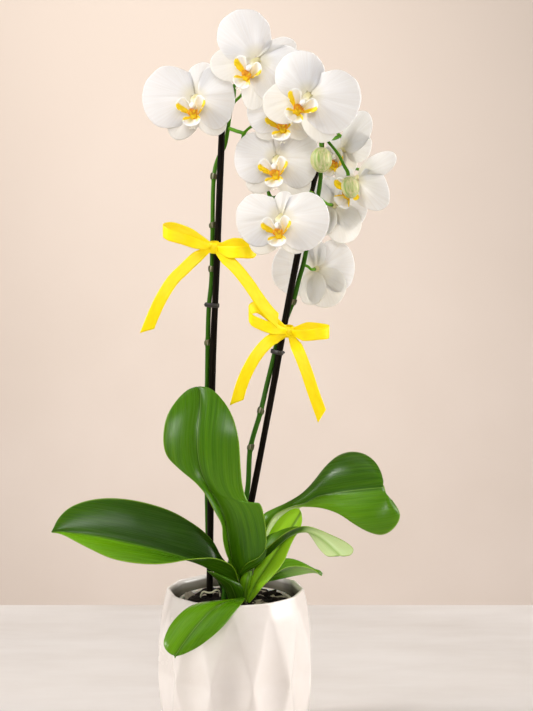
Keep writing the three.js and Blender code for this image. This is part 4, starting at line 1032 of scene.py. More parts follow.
def tepalSheet(shape, form, depth, seed):
    clock, length, width = shape
    a, b = (length - tepal["base"]) / 2, width / 2
    spread = form["spread"]
    phi = np.radians(np.linspace(-spread, spread, tepal["rays"]))[:, None]
    s = np.linspace(0.04, 1, tepal["steps"])[None]
    face = np.maximum(np.cos(phi), 0.02)
    oval = 2 * a * b ** 2 * face / ((b * face) ** 2 + (a * np.sin(phi)) ** 2)
    hold = form["hold"] * b * (1 - 0.9 * smoothStep(spread - 16, spread + 1, np.degrees(np.abs(phi))))
    edge = (oval ** 4 + hold ** 4) ** 0.25  # a rounded fan that stays broad at its foot
    edge = edge * (1 + 0.016 * wander(phi * 3, 0, seed) + 0.008 * wander(phi * 11, 0, seed + 3))
    along = tepal["base"] + s * edge * np.cos(phi)
    across = s * edge * np.sin(phi)
    share = np.clip(along / length, 0, 1)
    out = (depth + form["arch"] * 4 * share * (1 - share)
           - form["droop"] * (across / b) ** 2 + form["wave"] * np.sin(4 * phi + clock) * s ** 3
           + form["ruffle"] * wander(phi * 6, s * 1.5, seed + 9) * s ** 4)
    crease = wander(phi * 5.5, s * 0.4, seed + 14)
    swell = np.sin(np.pi * np.clip(s * 1.02, 0, 1)) ** 0.8
    out = out + form["fold"] * crease * swell * smoothStep(0.05, 0.5, s)
    out = out - 0.5 * np.exp(-(across / 1.6) ** 2) * smoothStep(0.05, 0.3, share) * (1 - s ** 4)  # middle vein
    turn = math.radians(clock)
    grid = np.stack([along * math.sin(turn) + across * math.cos(turn),
                     along * math.cos(turn) - across * math.sin(turn), out], -1)
    lie = np.stack([phi * 42 + 0 * s, 0 * phi + (s * edge), 0 * phi * s + seed * 17.0], -1)
    thick = tepal["edge"] + (tepal["thick"] - tepal["edge"]) * (1 - s ** 2) + 0 * phi
    return grid, lie, s * edge / length, thick


def petalFinish():
    material, tree, shader = newFinish(
        "petalSkin", Roughness=0.55, Specular_IOR_Level=0.25, Subsurface_Weight=0.45, Subsurface_Scale=0.008,
        Sheen_Weight=0.08, Sheen_Roughness=0.5)
    shader.inputs["Subsurface Radius"].default_value = (1.0, 0.95, 0.8)
    where = markOf(tree, "lie")
    veins = noiseOf(tree, stretched(tree, where, (1, 0.05, 1)), 0.5, 3.0, 0.55)
    pores = noiseOf(tree, where, 0.9, 3.0)
    colour = mixed(tree, between(tree, veins, 0.35, 0.7), *bloomTone["petal"])
    # cream tint, partly painted shade toward the throat
    colour = mixed(tree, markOf(tree, "cream"), colour, bloomTone["cream"])
    paint(tree, shader, colour, between(tree, pores, 0.3, 0.7, 0.48, 0.65))
    addBump(tree, shader, mathOf(tree, "ADD", veins, mathOf(tree, "MULTIPLY", pores, 0.2)), 0.3, 0.0006)
    return material


def columnFinish():
    material, tree, shader = newFinish("columnWax", Roughness=0.35, Subsurface_Weight=0.3, Subsurface_Scale=0.004)
    shader.inputs["Subsurface Radius"].default_value = (1.0, 0.95, 0.7)
    where = markOf(tree, "lie")
    soft = noiseOf(tree, where, 0.5)
    wax = mixed(tree, soft, *bloomTone["column"])
    # the column's cream foot: its own colour and painted shade
    colour = mixed(tree, markOf(tree, "cream"), wax, bloomTone["columnFoot"])
    paint(tree, shader, colour, between(tree, soft, 0.3, 0.7, 0.28, 0.45))
    addBump(tree, shader, noiseOf(tree, where, 1.6), 0.15, 0.0003)
    return material


petalSkin, columnWax = petalFinish(), columnFinish()


def heapTepal(pile, bloom, shape, form, depth, seed, cream):
    grid, lie, share, thick = tepalSheet(shape, form, depth, seed)
    points, faces = sheetSkin(grid, thick)
    # cream toward each tepal's foot: its own tint and painted shade in the throat
    creamShade = cream + (0.8 - cream) * (1 - smoothStep(0.06, 0.52 if cream else 0.34, share))
    heapOn(pile, fromBloom(bloom, points), faces, 0, lie=bothFaces(lie), cream=bothFaces(creamShade))


def heapColumn(pile, bloom):
    place = headSeat(bloom)
    t = np.linspace(0, 1, 24)
    spine = curveThrough([[0, 0, -3.8], [0, -0.2, 1], [0, -1.6, 5], [0, -4.0, 8], [0, -6.6, 9.6]], t)
    wide = valuesThrough([1.2, 3.2, 2.7, 2.7, 2.9, 2.5, 1.4], t)
    deep = valuesThrough([1.2, 3.0, 2.1, 2.1, 2.3, 1.9, 0.9], t)
    # creamier toward the column's foot: its own colour and painted shade
    cream = np.repeat(0.85 - 0.5 * smoothStep(0.6, 0.95, t), 18)
    heapTube(pile, spine, np.column_stack([deep, wide]), 18, (0, 1, 0), place, 1, cream=cream)
    u = np.linspace(-0.92, 0.96, 11)  # the anther cap
    cap = curveThrough([[0, -5.4, 10.2], [0, -8.2, 11.2], [0, -11.0, 10.4]], (u + 0.92) / 1.88)
    size = np.sqrt(np.clip(1 - u ** 2, 0.06, 1))
    heapTube(pile, cap, np.column_stack([1.7 * size, 2.4 * size]), 14, (0, 0, 1), place, 1, cream=0.0)


def makeBlooms():
    for order, (letter, bloom) in enumerate(blooms.items()):
        pile = newPile()
        seed = 20 * order
        for k, shape in enumerate(bloom["petals"]):
            heapTepal(pile, bloom, shape, petalForm, petalForm["depth"] + 0.35 * k, seed + k, 0.0)
        for k, shape in enumerate([bloom["dorsal"]] + bloom["sepals"]):
            cream = 0.1 + 0.2 * (k > 0)
            heapTepal(pile, bloom, shape, sepalForm, sepalForm["depth"] - 0.5 * k, seed + 5 + k, cream)
        heapColumn(pile, bloom)
        makePiece("flower_" + letter, pile, [petalSkin, columnWax], ["bloom_" + letter])


makeBlooms()
print("blooms made")


# lips: two cupped side lobes with yellow flames, a toothed callus and the middle lobe

lip = {
    "root": [0, -16.8, 6.2],
    "sideTurn": [98, 152], "sideReach": [15.0, 17.0, 17.4, 16.8, 15.6, 14.2], "sideLift": 8.4,
    "middleTurn": [187, 353], "middleReach": [8.6, 9.4, 9.0, 8.6, 9.0, 9.4, 8.6], "middleLift": 8.2,
    "teeth": 5, "crown": 11,
    # the lip's cream is partly its own colour and partly painted shade in the cup
    "yellow": "#FFD60E", "orange": "#EF970C", "white": "#FBFAF7", "cream": "#E6D98E",
}


def lipFinish():
    material, tree, shader = newFinish(
        "lipSkin", Roughness=0.42, Subsurface_Weight=0.3, Subsurface_Scale=0.004, Specular_IOR_Level=0.35)
    shader.inputs["Subsurface Radius"].default_value = (1.0, 0.9, 0.6)
    where = markOf(tree, "lie")
    streak = noiseOf(tree, stretched(tree, where, (1, 0.25, 1)), 0.9, 3.0, 0.6)
    stray = mathOf(tree, "MULTIPLY", mathOf(tree, "SUBTRACT", streak, 0.5), 0.7)
    gold = between(tree, mathOf(tree, "ADD", markOf(tree, "gold"), stray), 0.38, 0.56)
    ember = between(tree, mathOf(tree, "ADD", markOf(tree, "ember"), stray), 0.35, 0.8)
    # cream tint and painted shade in the cup
    white = mixed(tree, markOf(tree, "cream"), lip["white"], lip["cream"])
    colour = mixed(tree, gold, white, lip["yellow"])
    colour = mixed(tree, ember, colour, lip["orange"])
    paint(tree, shader, colour, between(tree, streak, 0.3, 0.7, 0.35, 0.5))
    addBump(tree, shader, streak, 0.3, 0.0005)
    return material


lipSkin = lipFinish()


def heapFan(pile, place, root, turns, reaches, rise, marks, rows=25, steps=15, thick=0.7):
    u = np.linspace(0, 1, rows)[:, None]
    s = np.linspace(0.0, 1, steps)[None]
    turn = np.radians(turns[0] + (turns[1] - turns[0]) * u)
    corner = 1 - np.abs(2 * u - 1) ** 6 * 0.35  # the lobe's rounded corners
    reach = valuesThrough(reaches, u[:, 0])[:, None] * corner * s + 0.8
    grid = np.stack([root[0] + reach * np.cos(turn), root[1] + reach * np.sin(turn), root[2] + rise(u, s)], -1)
    gold, ember, cream = (mark(u, s) + 0 * u * s for mark in marks)
    lie = np.stack([u * 24 + 0 * s, 0 * u + s * 14, 0 * u * s + turns[0]], -1)
    points, faces = sheetSkin(grid[::-1], thick)
    heapOn(pile, place(points), faces, lie=bothFaces(lie[::-1]), gold=bothFaces(gold[::-1]),
           ember=bothFaces(ember[::-1]), cream=bothFaces(cream[::-1]))


def heapLip(pile, bloom):
    place = headSeat(bloom)
    mirror = lambda points: place(np.asarray(points) * [-1, 1, 1])
    t = np.linspace(0, 1, 11)
    claw = curveThrough([[0, -1.6, 3.6], [0, -6, 4.2], [0, -12, 4.6], [0, -17.4, 6.6]], t)
    gold = np.repeat(smoothStep(0.5, 0.9, t), 12)
    heapTube(pile, claw, np.linspace(1.6, 2.4, 11), 12, (1, 0, 0), place, gold=gold, cream=0.6)
    _, rootY, rootZ = lip["root"]
    sideRise = lambda u, s: (lip["sideLift"] * s ** 1.4 * (0.8 + 0.25 * u)
                             - 1.7 * np.sin(np.pi * s) * np.sin(np.pi * u))
    sideGold = lambda u, s: (np.exp(-((u - 0.8 - 0.04 * s) / (0.3 - 0.07 * s)) ** 2) * smoothStep(0.0, 0.1, s)
                             * (1 - 0.3 * smoothStep(0.93, 1, s)))
    sideEmber = lambda u, s: 0.7 * (1 - smoothStep(0.1, 0.42, s)) * smoothStep(0.35, 0.8, u)
    # cream at the lobes' foot: its own tint and painted shade in the cup
    sideCreamAndShade = lambda u, s: 0.7 * (1 - smoothStep(0.2, 0.6, s)) + 0.2 * np.exp(-((u - 0.1) / 0.2) ** 2)
    for put in (place, mirror):  # cupped side lobes, the left one as drawn
        before = pile["count"]
        heapFan(pile, put, [-1.4, rootY, rootZ - 0.6], lip["sideTurn"], lip["sideReach"], sideRise,
                (sideGold, sideEmber, sideCreamAndShade))
        if put is mirror:
            flipLast(pile, before)
    aside = lambda u: np.abs(2 * u - 1)
    middleRise = lambda u, s: (lip["middleLift"] * s ** 0.9 - 1.4 * np.sin(np.pi * s)
                               + 1.1 * s * np.exp(-((u - 0.5) / 0.05) ** 2) + 0.8 * s ** 2 * aside(u) ** 2)
    middleGold = lambda u, s: (np.exp(-((aside(u) - 0.9) / 0.15) ** 2) * (1.0 - 0.2 * s)
                               + 0.8 * (1 - smoothStep(0.15, 0.5, s))
                               + 0.3 * np.exp(-((aside(u) - 0.45) / 0.2) ** 2) * (1 - smoothStep(0.5, 0.8, s)))
    middleEmber = lambda u, s: 0.75 * (1 - smoothStep(0.1, 0.5, s))
    # cream toward the middle lobe's foot and sides: its own tint and painted shade
    middleCreamAndShade = lambda u, s: 0.95 * (1 - smoothStep(0.45, 0.9, s)) * smoothStep(0.1, 0.5, aside(u))
    heapFan(pile, place, lip["root"], lip["middleTurn"], lip["middleReach"], middleRise,
            (middleGold, middleEmber, middleCreamAndShade), rows=49)
    t = np.linspace(0, 1, 41)[:, None]  # the toothed callus
    s = np.linspace(0, 1, 15)[None]
    tooth = np.abs(((t * lip["teeth"]) % 1) * 2 - 1)
    top = 4.2 + 1.3 * np.sin(np.pi * t) - 1.8 * tooth
    x = (2 * t - 1) * (1.3 + 2.9 * s)
    z = rootZ + 2.4 + 3.0 * s * (1 - 0.4 * (2 * t - 1) ** 2) + 0.5 * np.sin(6 * s + 5 * t)
    grid = np.stack([x, rootY - 2.4 + s * (3.2 + top) + 0 * t, z], -1)
    points, faces = sheetSkin(grid[::-1], 1.5)
    lie = np.stack([t * 11 + 0 * s, 0 * t + s * 8, 0 * t * s + 50], -1)
    ember = bothFaces((0.1 + 0.9 * s ** 1.3 + 0 * t)[::-1])
    heapOn(pile, place(points), faces, lie=bothFaces(lie[::-1]), gold=1.0, ember=ember)
    pick = random.Random(bloom["lip"])
    for k in range(lip["crown"]):  # its ragged crown
        fan, length = math.radians(4 + 17.2 * k + pick.uniform(-6, 6)), pick.uniform(2.4, 4.6)
        low = np.array([0.9 * math.cos(fan), rootY + 1.9, rootZ + 3.8])
        high = low + [length * math.cos(fan) * 0.85, length * math.sin(fan), pick.uniform(0.2, 2.0)]
        bend = (low + high) / 2 + [pick.uniform(-0.5, 0.5), 0, pick.uniform(0.3, 1.0)]
        shred = curveThrough([low, bend, high], np.linspace(0, 1, 7))
        heapTube(pile, shred, np.linspace(1.2, 0.4, 7), 8, (0, 0, 1), place, shift=k * 7,
                 gold=1.0, ember=pick.choice([0.45, 0.75, 1.0]))
    for side in (-1, 1):  # its two horns, and the short tendrils under the rim
        horn = curveThrough([[1.6 * side, rootY - 0.2, rootZ + 2.6], [3.8 * side, rootY + 1.6, rootZ + 4.4],
                             [4.8 * side, rootY + 4.6, rootZ + 5.0]], np.linspace(0, 1, 10))
        heapTube(pile, horn, np.linspace(1.0, 0.3, 10), 10, (0, 0, 1), place, gold=1.0, ember=0.8)
        curl = curveThrough([[0.6 * side, -27.0, 13.6], [1.5 * side, -28.4, 13.2], [2.6 * side, -28.6, 14.2],
                             [3.0 * side, -27.6, 15.2]], np.linspace(0, 1, 12))
        heapTube(pile, curl, np.linspace(0.45, 0.2, 12), 8, (1, 0, 0), place, cream=0.3)


def flipLast(pile, before):  # a mirrored shell is turned right side out
    for k, face in enumerate(pile["faces"]):
        if face[0] >= before:
            pile["faces"][k] = face[::-1]


def makeLips():
    for letter, bloom in blooms.items():
        pile = newPile()
        heapLip(pile, bloom)
        makePiece("lip_of_" + letter, pile, [lipSkin], ["lip_" + letter])


makeLips()
print("lips made")


# flower stems, joints and stalks

spikes = {
    "left": {
        "main": [[-4, 9, 108], [-9, 11, 140], [-17, 14, 160], [-24.5, 13.5, 186], [-26.4, 12.5, 229],
                 [-25.9, 10, 342], [-24, 7.4, 414], [-21.7, 8.4, 437], [-20.6, 7.6, 475], [-19.2, 6, 530],
                 [-17.2, 7.5, 543.6], [-13.9, 8.5, 552.5], [-9.3, 8, 560.5], [-6.3, 5, 574], [-4.5, -1, 586],
                 [-1.8, -10, 597.5], [0.1, -17, 606], [0.5, -24, 615]],
        "branches": [[[-5.6, 2, 577], [1.7, -6, 574], [8.2, -12, 571], [7.6, -13, 565]]],
        "joints": [380, 448, 488, 532],
        "stalks": {"A": [[-4.4, -2, 587], [-14, -14, 596]], "B": [[-1.8, -11, 598], [7.6, -22, 606]],
                   "C": [[8.2, -12, 571], [15.3, -20, 577]], "D": [[7.6, -13, 566], [14, -14, 558]]},
    },
    "right": {
        "main": [[-13, -9, 108], [-11, -8.5, 139], [-7, -6.5, 165], [11.3, -3, 243], [14.3, 0, 283],
                 [23.6, 4, 316], [29.8, 8.5, 342], [35, 10.5, 363], [39.8, 13, 383], [45.4, 14.2, 397],
                 [50.3, 14.5, 409], [55.1, 13, 422], [59.3, 13, 439], [63, 11, 452], [65.8, 7, 466], [70, 3, 489],
                 [76, -4, 515], [78.4, -14, 537], [78.9, -24, 560], [78.4, -36, 592], [77.5, -44, 614],
                 [81, -52, 617], [83.5, -59, 598], [82.5, -64, 576], [80.8, -66, 564]],
        "branches": [[[81.5, -65, 569], [86, -60, 565], [93, -50, 567]],
                     [[74, -3, 517], [62, -12, 520.5], [50, -24, 519.3], [41.3, -28, 515.7], [34.1, -31, 513.5],
                      [31.6, -30, 516.5], [30.2, -28, 521]]],
        "joints": [283, 316, 417],
        "stalks": {"E": [[75, -2, 511], [50, -20, 518], [38, -32, 514]],
                   "F": [[78.4, -38, 596], [78, -56, 600], [71, -75, 601]],
                   "G": [[78.8, -28, 571], [83, -12, 580], [94, -1, 572]],
                   "H": [[78.6, -14, 537], [88, 5, 539], [104, 4, 541]],
                   "I": [[76, -4, 515], [81, 0, 511]], "J": [[63, 11, 452], [67, 12, 451]]},
    },
}
stem = {"radius": 2.4, "tip": 1.7, "stalk": 1.3, "old": ["#1C4206", "#386908"], "young": ["#4E9010", "#7ABA28"],
        "scale": [(0.42, "#2C2718"), (0.56, "#6E6850"), (0.7, "#C9C3AA")]}
buds = {
    "bud_1": {"from": [[80.8, -66, 564]], "top": [76.4, -68, 557], "tip": [76.8, -70, 535], "radius": 9.5},
    "bud_2": {"from": [[80.8, -66, 564], [91.7, -62, 551], [97, -60, 541]], "top": [100.7, -59, 532],
              "tip": [104.2, -59, 513], "radius": 8},
}


def stemFinish():
    material, tree, shader = newFinish(
        "stemSkin", Roughness=0.4, Specular_IOR_Level=0.12, Subsurface_Weight=0.08, Subsurface_Scale=0.003)
    where = markOf(tree, "lie")
    streak = noiseOf(tree, stretched(tree, where, (1, 1, 0.05)), 0.8, 4.0, 0.6)
    young = markOf(tree, "young")
    colour = mixed(tree, streak, *stem["old"])
    colour = mixed(tree, young, colour, mixed(tree, streak, *stem["young"]))
    colour = mixed(tree, markOf(tree, "scale"), colour, rampOf(tree, streak, stem["scale"]))
    paint(tree, shader, colour, between(tree, streak, 0.3, 0.7, 0.32, 0.5))
    addBump(tree, shader, streak, 0.3, 0.0005)
    return material


stemSkin = stemFinish()


def bractOn(pile, spot, ahead, outward, young):  # the dry scale that wraps a joint
    t = np.linspace(0, 1, 10)[:, None]
    around = np.linspace(-2.6, 2.6, 15)[None]
    sideways = unit(np.cross(ahead, outward))
    reach = 2.95 + 0.35 * np.sin(np.pi * t)
    half = around * np.sqrt(np.clip(1 - t ** 2.2, 0.03, 1))
    grid = (spot + (outward * (np.cos(half) * reach)[..., None]) + (sideways * (np.sin(half) * reach)[..., None])
            + ahead * ((t * 5.6 - 2.0) + 0 * half)[..., None])
    points, faces = sheetSkin(grid, 0.4)
    lie = np.stack([half * 3, 0 * half, 0 * half + t * 9], -1)
    heapOn(pile, points, faces, lie=bothFaces(lie), young=young, scale=bothFaces(0.75 + 0.25 * t + 0 * half))


def stemAt(route, height):  # place and heading where a route passes a height
    shares = np.linspace(0, 1, 700)
    centres, ahead, _ = evenRoute(route, shares)
    k = int(np.argmax(centres[:, 2] > height))
    return centres[k], ahead[k]


def makeSpikes():
    for side, spike in spikes.items():
        pile = newPile()
        t = np.linspace(0, 1, 260)
        centres, _, length = evenRoute(spike["main"], t)
        radii = stem["radius"] + (stem["tip"] - stem["radius"]) * t ** 2
        for height in spike["joints"]:
            spot, _ = stemAt(spike["main"], height)
            near = np.linalg.norm(centres - spot, axis=1)
            radii = radii + 0.75 * np.exp(-(near / 2.4) ** 2)
        young = np.repeat(smoothStep(0.55, 1.0, t) * 0.4, 16)
        heapTube(pile, centres, roundedEnds(1, t, length, 1.5) * radii, 16, young=young, scale=0.0)
        for branch in spike["branches"]:
            u = np.linspace(0, 1, 40)
            line, _, _ = evenRoute(branch, u)
            young = np.repeat(0.9 - 0.7 * u, 14)
            heapTube(pile, line, roundedEnds(stem["tip"], u, 20, 1.5), 14, young=young, scale=0.0)
        for order, height in enumerate(spike["joints"]):
            spot, ahead = stemAt(spike["main"], height)
            outward = np.array([(-1) ** order * 0.8, -0.6, 0])
            outward = unit(outward - ahead * outward.dot(ahead))
            bractOn(pile, spot, ahead, outward, 0.2)
        for letter, route in spike["stalks"].items():
            ends = fromBloom(blooms[letter], [[0, 0, -12.7], [0, 0, -4.7]])
            u = np.linspace(0, 1, 50)
            line, _, _ = evenRoute(route + ends.tolist(), u)
            radii = stem["stalk"] * (1 + 0.35 * smoothStep(0.6, 1, u) + 0.5 * np.exp(-(u / 0.06) ** 2))
            heapTube(pile, line, radii, 12, young=np.repeat(0.5 + 0.5 * u, 12),
                     scale=np.repeat(0.7 * smoothStep(0.75, 1, u), 12))
        if side == "right":
            for bud in buds.values():
                top, tip = np.array(bud["top"], float), np.array(bud["tip"], float)
                axis = unit(top - tip)
                u = np.linspace(0, 1, 44)
                line, _, _ = evenRoute(bud["from"] + [(top + 4 * axis).tolist(), (top + 0.6 * axis).tolist()], u)
                young = np.repeat(0.15 + 0.3 * u, 12)
                heapTube(pile, line, stem["stalk"] * (1 + 0.3 * u ** 3), 12, young=young, scale=0.0)
        makePiece("flower_stem_" + side, pile, [stemSkin], ["spike_" + side])


makeSpikes()

budShape = {"rings": 40, "sides": 36, "groove": 0.07, "seam": "#7FA23C",
            "skin": [(0.32, "#8DAA52"), (0.5, "#BDBE86"), (0.7, "#D8CFA4")]}


def budFinish():
    material, tree, shader = newFinish("budSkin", Roughness=0.45, Subsurface_Weight=0.2, Subsurface_Scale=0.004)
    where = markOf(tree, "lie")
    streak = noiseOf(tree, stretched(tree, where, (1, 1, 0.12)), 0.5, 3.0, 0.6)
    colour = mixed(tree, markOf(tree, "seam"), rampOf(tree, streak, budShape["skin"]), budShape["seam"])
    paint(tree, shader, colour, between(tree, streak, 0.3, 0.7, 0.38, 0.55))
    addBump(tree, shader, streak, 0.2, 0.0005)
    return material


def makeBuds():
    finish = budFinish()
    for name, bud in buds.items():
        top, tip = np.array(bud["top"], float), np.array(bud["tip"], float)
        t = np.linspace(0.004, 0.996, budShape["rings"])
        centres = top + (tip - top) * t[:, None]
        swell = bud["radius"] * np.sqrt(np.clip(1 - (2 * t - 1.0) ** 2, 0.004, 1)) ** 0.9
        swell = swell * (1 - 0.12 * smoothStep(0.6, 1, t))
        points, faces, lie = tubeSkin(centres, swell, budShape["sides"])
        turn = np.arange(budShape["sides"]) * 10  # in degrees, with three seams
        groove = np.exp(-((((turn + 20) % 120) - 60) / 7.0) ** 2)[None] * np.sin(np.pi * t)[:, None] ** 0.5
        axis = centres[:, None]
        shell = points.reshape(*groove.shape, 3)
        points = axis + (shell - axis) * (1 - budShape["groove"] * groove)[..., None]
        pile = newPile()
        heapOn(pile, points, faces, lie=lie, seam=groove * 0.8)
        makePiece(name + "_closed", pile, [finish], [name])


makeBuds()
print("stems and buds made")


# clips that hold stem and cane together

clips = {
    "clip_left": {"height": 415, "stem": "left", "cane": "stake_left", "tail": [-1, 0.2]},
    "clip_right": {"height": 371, "stem": "right", "cane": "stake_right", "tail": [1, -0.1]},
}
clipShape = {"inner": 3.05, "wall": 0.95, "length": 4.0, "tail": 1.2, "sides": 48, "across": 12,
             "tones": ["#14110D", "#2A241C"]}


def clipFinish():
    material, tree, shader = newFinish("clipPlastic", Roughness=0.4)
    where = markOf(tree, "lie")
    speck = noiseOf(tree, where, 0.6)
    paint(tree, shader, mixed(tree, speck, *clipShape["tones"]), between(tree, speck, 0.3, 0.7, 0.32, 0.5))
    addBump(tree, shader, noiseOf(tree, where, 2.5), 0.2, 0.0003)
    return material


def makeClips():  # an oval band that hugs cane and stem, with its short catch
    finish = clipFinish()
    inner, wall, length, tail = (clipShape[key] for key in ("inner", "wall", "length", "tail"))
    sides, across = clipShape["sides"], clipShape["across"]
    for name, clip in clips.items():
        stemSpot, _ = stemAt(spikes[clip["stem"]]["main"], clip["height"])
        caneSpot, axis = stemAt(stakes[clip["cane"]], clip["height"])
        centre = (stemSpot + caneSpot) / 2
        first = unit(caneSpot - stemSpot - axis * axis.dot(caneSpot - stemSpot))
        second = np.cross(axis, first)
        apart = np.linalg.norm(caneSpot - stemSpot) / 2
        turn = np.linspace(0, 2 * np.pi, sides, endpoint=False)[:, None]
        angles = np.linspace(0, 2 * np.pi, across, endpoint=False)
        loop = np.array([(math.cos(a) * 0.5 + 0.5, math.sin(a) * 0.5) for a in angles])
        reach = inner + wall * loop[None, :, 0]
        rise = length * np.sign(loop[:, 1]) * np.abs(loop[:, 1] * 2) ** 0.5 / 2
        along = np.clip(np.cos(turn) * 3, -1, 1) * apart + np.cos(turn) * reach
        grid = (centre + first * along[..., None] + second * (np.sin(turn) * reach)[..., None]
                + axis * (rise[None] + 0 * turn)[..., None])
        faces = gridFaces(sides, across, closed=True)
        last = (sides - 1) * across
        faces += [[last + k, last + (k + 1) % across, (k + 1) % across, k] for k in range(across)]
        pile = newPile()
        heapOn(pile, grid, faces, lie=grid)
        side, droop = clip["tail"]
        start = centre + [side * (apart + inner - 0.5), -1.6, 0]
        stops = [start, start + [side * tail / 2, -0.5, droop * 3], start + [side * tail, 0.0, droop * 6]]
        route = curveThrough(stops, np.linspace(0, 1, 9))
        heapTube(pile, route, np.column_stack([np.linspace(1.0, 0.5, 9), np.linspace(1.5, 0.8, 9)]), 10)
        makePiece(name + "_ring", pile, [finish], [name])


makeClips()
print("clips made")


# ribbons

ribbon = {"width": 11, "thick": 0.45, "neck": 4.5, "tones": ["#FFEA12", "#FFDE00"], "hem": "#F6C800",
          "knot": {"wide": 5.4, "deep": 4.6, "high": 5.0, "reach": 5}}
bows = {
    "ribbon_left": {
        "knot": [-18.6, -5.5, 469], "turn": [-18.3, 4.8, 469], "axis": [0.05, 0, 1], "inner": 8,
        "loops": [
            [[-20.3, -8, 468.4], [-34.6, -17, 473], [-48.8, -21, 477.7], [-60.6, -19, 481.2], [-64.6, -13, 484.7],
             [-57.7, -7, 486.5], [-44.2, -5, 482.8], [-31.4, -5, 476.5], [-20.3, -5, 470.2]],
            [[-16.7, -8, 468.4], [-5.6, -18, 465], [6.2, -23, 465], [17, -20, 465], [19.7, -14, 468.5],
             [11.5, -10, 471.1], [-2.2, -7, 472], [-15.9, -5, 469.3]],
        ],
        "tails": [
            [[-21.2, -8, 468.4], [-33.8, -14, 460.4], [-46.5, -16, 448.6], [-55.6, -17, 439.6], [-66.5, -18, 422.5],
             [-73.9, -17, 406.9], [-79.6, -15, 393.1]],
            [[-16.7, -8, 466.6], [-8.4, -15, 459.5], [0.7, -18, 451.4], [12.5, -21, 437.1], [22.4, -23, 422.7],
             [31.5, -25, 411.1], [39.6, -26, 403]],
        ],
        "rests": ["flower_stem_left", "cane_left"],
    },
    "ribbon_right": {
        "knot": [49.5, -2.8, 392], "turn": [45.4, 9.8, 392], "axis": [0.25, 0.03, 1], "inner": 7.6,
        "loops": [
            [[48.8, -6, 391.8], [36.9, -16, 395], [25.1, -20, 399], [15.1, -19, 404.3], [13.3, -13, 411.2],
             [19.6, -8, 414.5], [30.6, -6, 407.1], [40.6, -5, 398.9], [48.9, -3, 392.5]],
            [[51.5, -6, 390.9], [64.2, -17, 389.6], [75.9, -21, 390.9], [84.2, -18, 391.5], [86.2, -12, 392.9],
             [78.2, -7, 394.3], [65.4, -6, 395.1], [52.4, -3, 392.5]],
        ],
        "tails": [
            [[48, -7, 390.1], [33.3, -17, 385.1], [22.4, -20, 374.4], [13.3, -20, 359.8], [6.9, -18, 344.9],
             [1.9, -15.4, 327.5]],
            [[51, -7, 388.3], [57.9, -17, 375.9], [65.1, -20, 357.9], [71.5, -20, 338.7], [79.9, -17.6, 315.2]],
        ],
        "rests": ["flower_stem_right", "cane_right"],
    },
}


def ribbonFinish():
    material, tree, shader = newFinish(
        "satinRibbon", Roughness=0.38, Sheen_Weight=0.06, Sheen_Roughness=0.3, Specular_IOR_Level=0.2)
    where = markOf(tree, "lie")
    weave = addNode(tree, "TexWave", {"Vector": where, "Scale": 1.4, "Distortion": 0.6, "Detail": 1.0},
                    bands_direction="Y").outputs["Fac"]
    cloud = noiseOf(tree, stretched(tree, where, (1, 0.3, 1)), 0.25, 3.0)
    colour = mixed(tree, between(tree, cloud, 0.3, 0.7), *ribbon["tones"])
    colour = mixed(tree, between(tree, markOf(tree, "edge"), 0.88, 0.98, 0.0, 0.35), colour, ribbon["hem"])
    paint(tree, shader, colour, between(tree, cloud, 0.3, 0.7, 0.3, 0.45))
    addBump(tree, shader, weave, 0.12, 0.0002)
    return material


def heapBand(pile, grid, gone):
    shape, across = grid.shape[:2], np.linspace(-1, 1, grid.shape[1])
    points, faces = sheetSkin(grid, ribbon["thick"])
    lie = np.stack([np.broadcast_to(across * ribbon["width"] / 2, shape), np.broadcast_to(gone[:, None], shape),
                    np.zeros(shape)], -1)
    heapOn(pile, points, faces, lie=bothFaces(lie), edge=bothFaces(np.abs(across) + 0 * gone[:, None]))


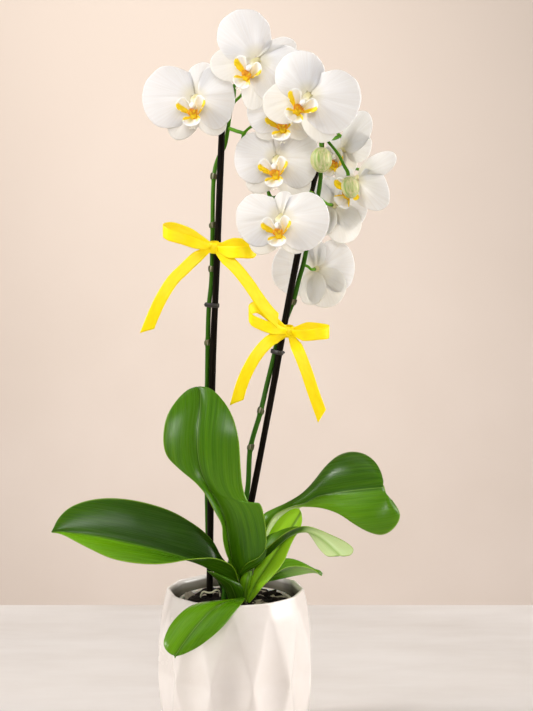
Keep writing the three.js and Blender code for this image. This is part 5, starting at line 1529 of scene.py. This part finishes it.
def heapBow(pile, bow):  # two loops and two tails, which narrow toward the knot
    total = 0
    t = np.linspace(0, 1, 60)
    across = np.linspace(-1, 1, 9)
    full, neck = ribbon["width"], ribbon["neck"]
    for loop in bow["loops"]:
        centres, ahead, length = evenRoute(loop, t)
        wide = unit(np.array([0, 0.05, 1.0]) + 0 * ahead)
        width = np.minimum(full, neck + 36 * np.minimum(t, 1 - t))
        grid = centres[:, None] + wide[:, None] * (width[:, None] * across / 2)[..., None]
        grid[..., 1] -= 0.8 * np.sin(np.pi * across)[None] * (1 - width / full)[:, None]  # gathered
        heapBand(pile, grid, t * length)
        total += length
    for tail in bow["tails"]:
        centres, ahead, length = evenRoute(tail, t)
        wide = unit(np.cross(ahead, [0, -1, 0.2]))
        width = np.minimum(full, neck + 40 * t)
        grid = centres[:, None] + wide[:, None] * (width[:, None] * across / 2)[..., None]
        grid = grid + ahead[:, None] * (smoothStep(0.85, 1, t)[:, None] * across * 4.5)[..., None]  # slanted cut
        heapBand(pile, grid, t * length)
        total += length
    return total


def heapKnot(pile, bow):  # the band of the knot, and the turn round cane and stem
    u = np.linspace(0, 2 * np.pi, 41)
    lift = np.linspace(-1, 1, 11)
    shape, (x, y, z) = ribbon["knot"], bow["knot"]
    reach = np.stack([np.cos(u) * shape["wide"], np.sin(u) * shape["deep"]], -1)
    grid = np.stack([x + reach[:, :1] * (1 - 0.25 * lift ** 2), y + reach[:, 1:] * (1 - 0.3 * lift ** 2),
                     z + lift[None] * shape["high"] + 0 * reach[:, :1] + 0.8 * np.sin(u)[:, None]], -1)
    heapBand(pile, grid, u * shape["reach"])
    axis = unit(np.array(bow["axis"], float))
    first = unit(np.cross(axis, [0, 1, 0]))
    second = np.cross(axis, first)
    centre = np.array(bow["turn"], float)
    ring = centre + (first * np.cos(u)[:, None] + second * np.sin(u)[:, None]) * (bow["inner"] + 0.4)
    heapBand(pile, ring[:, None] + axis * (lift * 4.5)[None, :, None], u * bow["inner"])
    return 2 * np.pi * (shape["reach"] + bow["inner"])


def makeBows():
    finish = ribbonFinish()
    for name, bow in bows.items():
        pile = newPile()
        total = heapBow(pile, bow) + heapKnot(pile, bow)
        piece = makePiece(name + "_bow", pile, [finish], [name])


makeBows()
print("ribbons made")
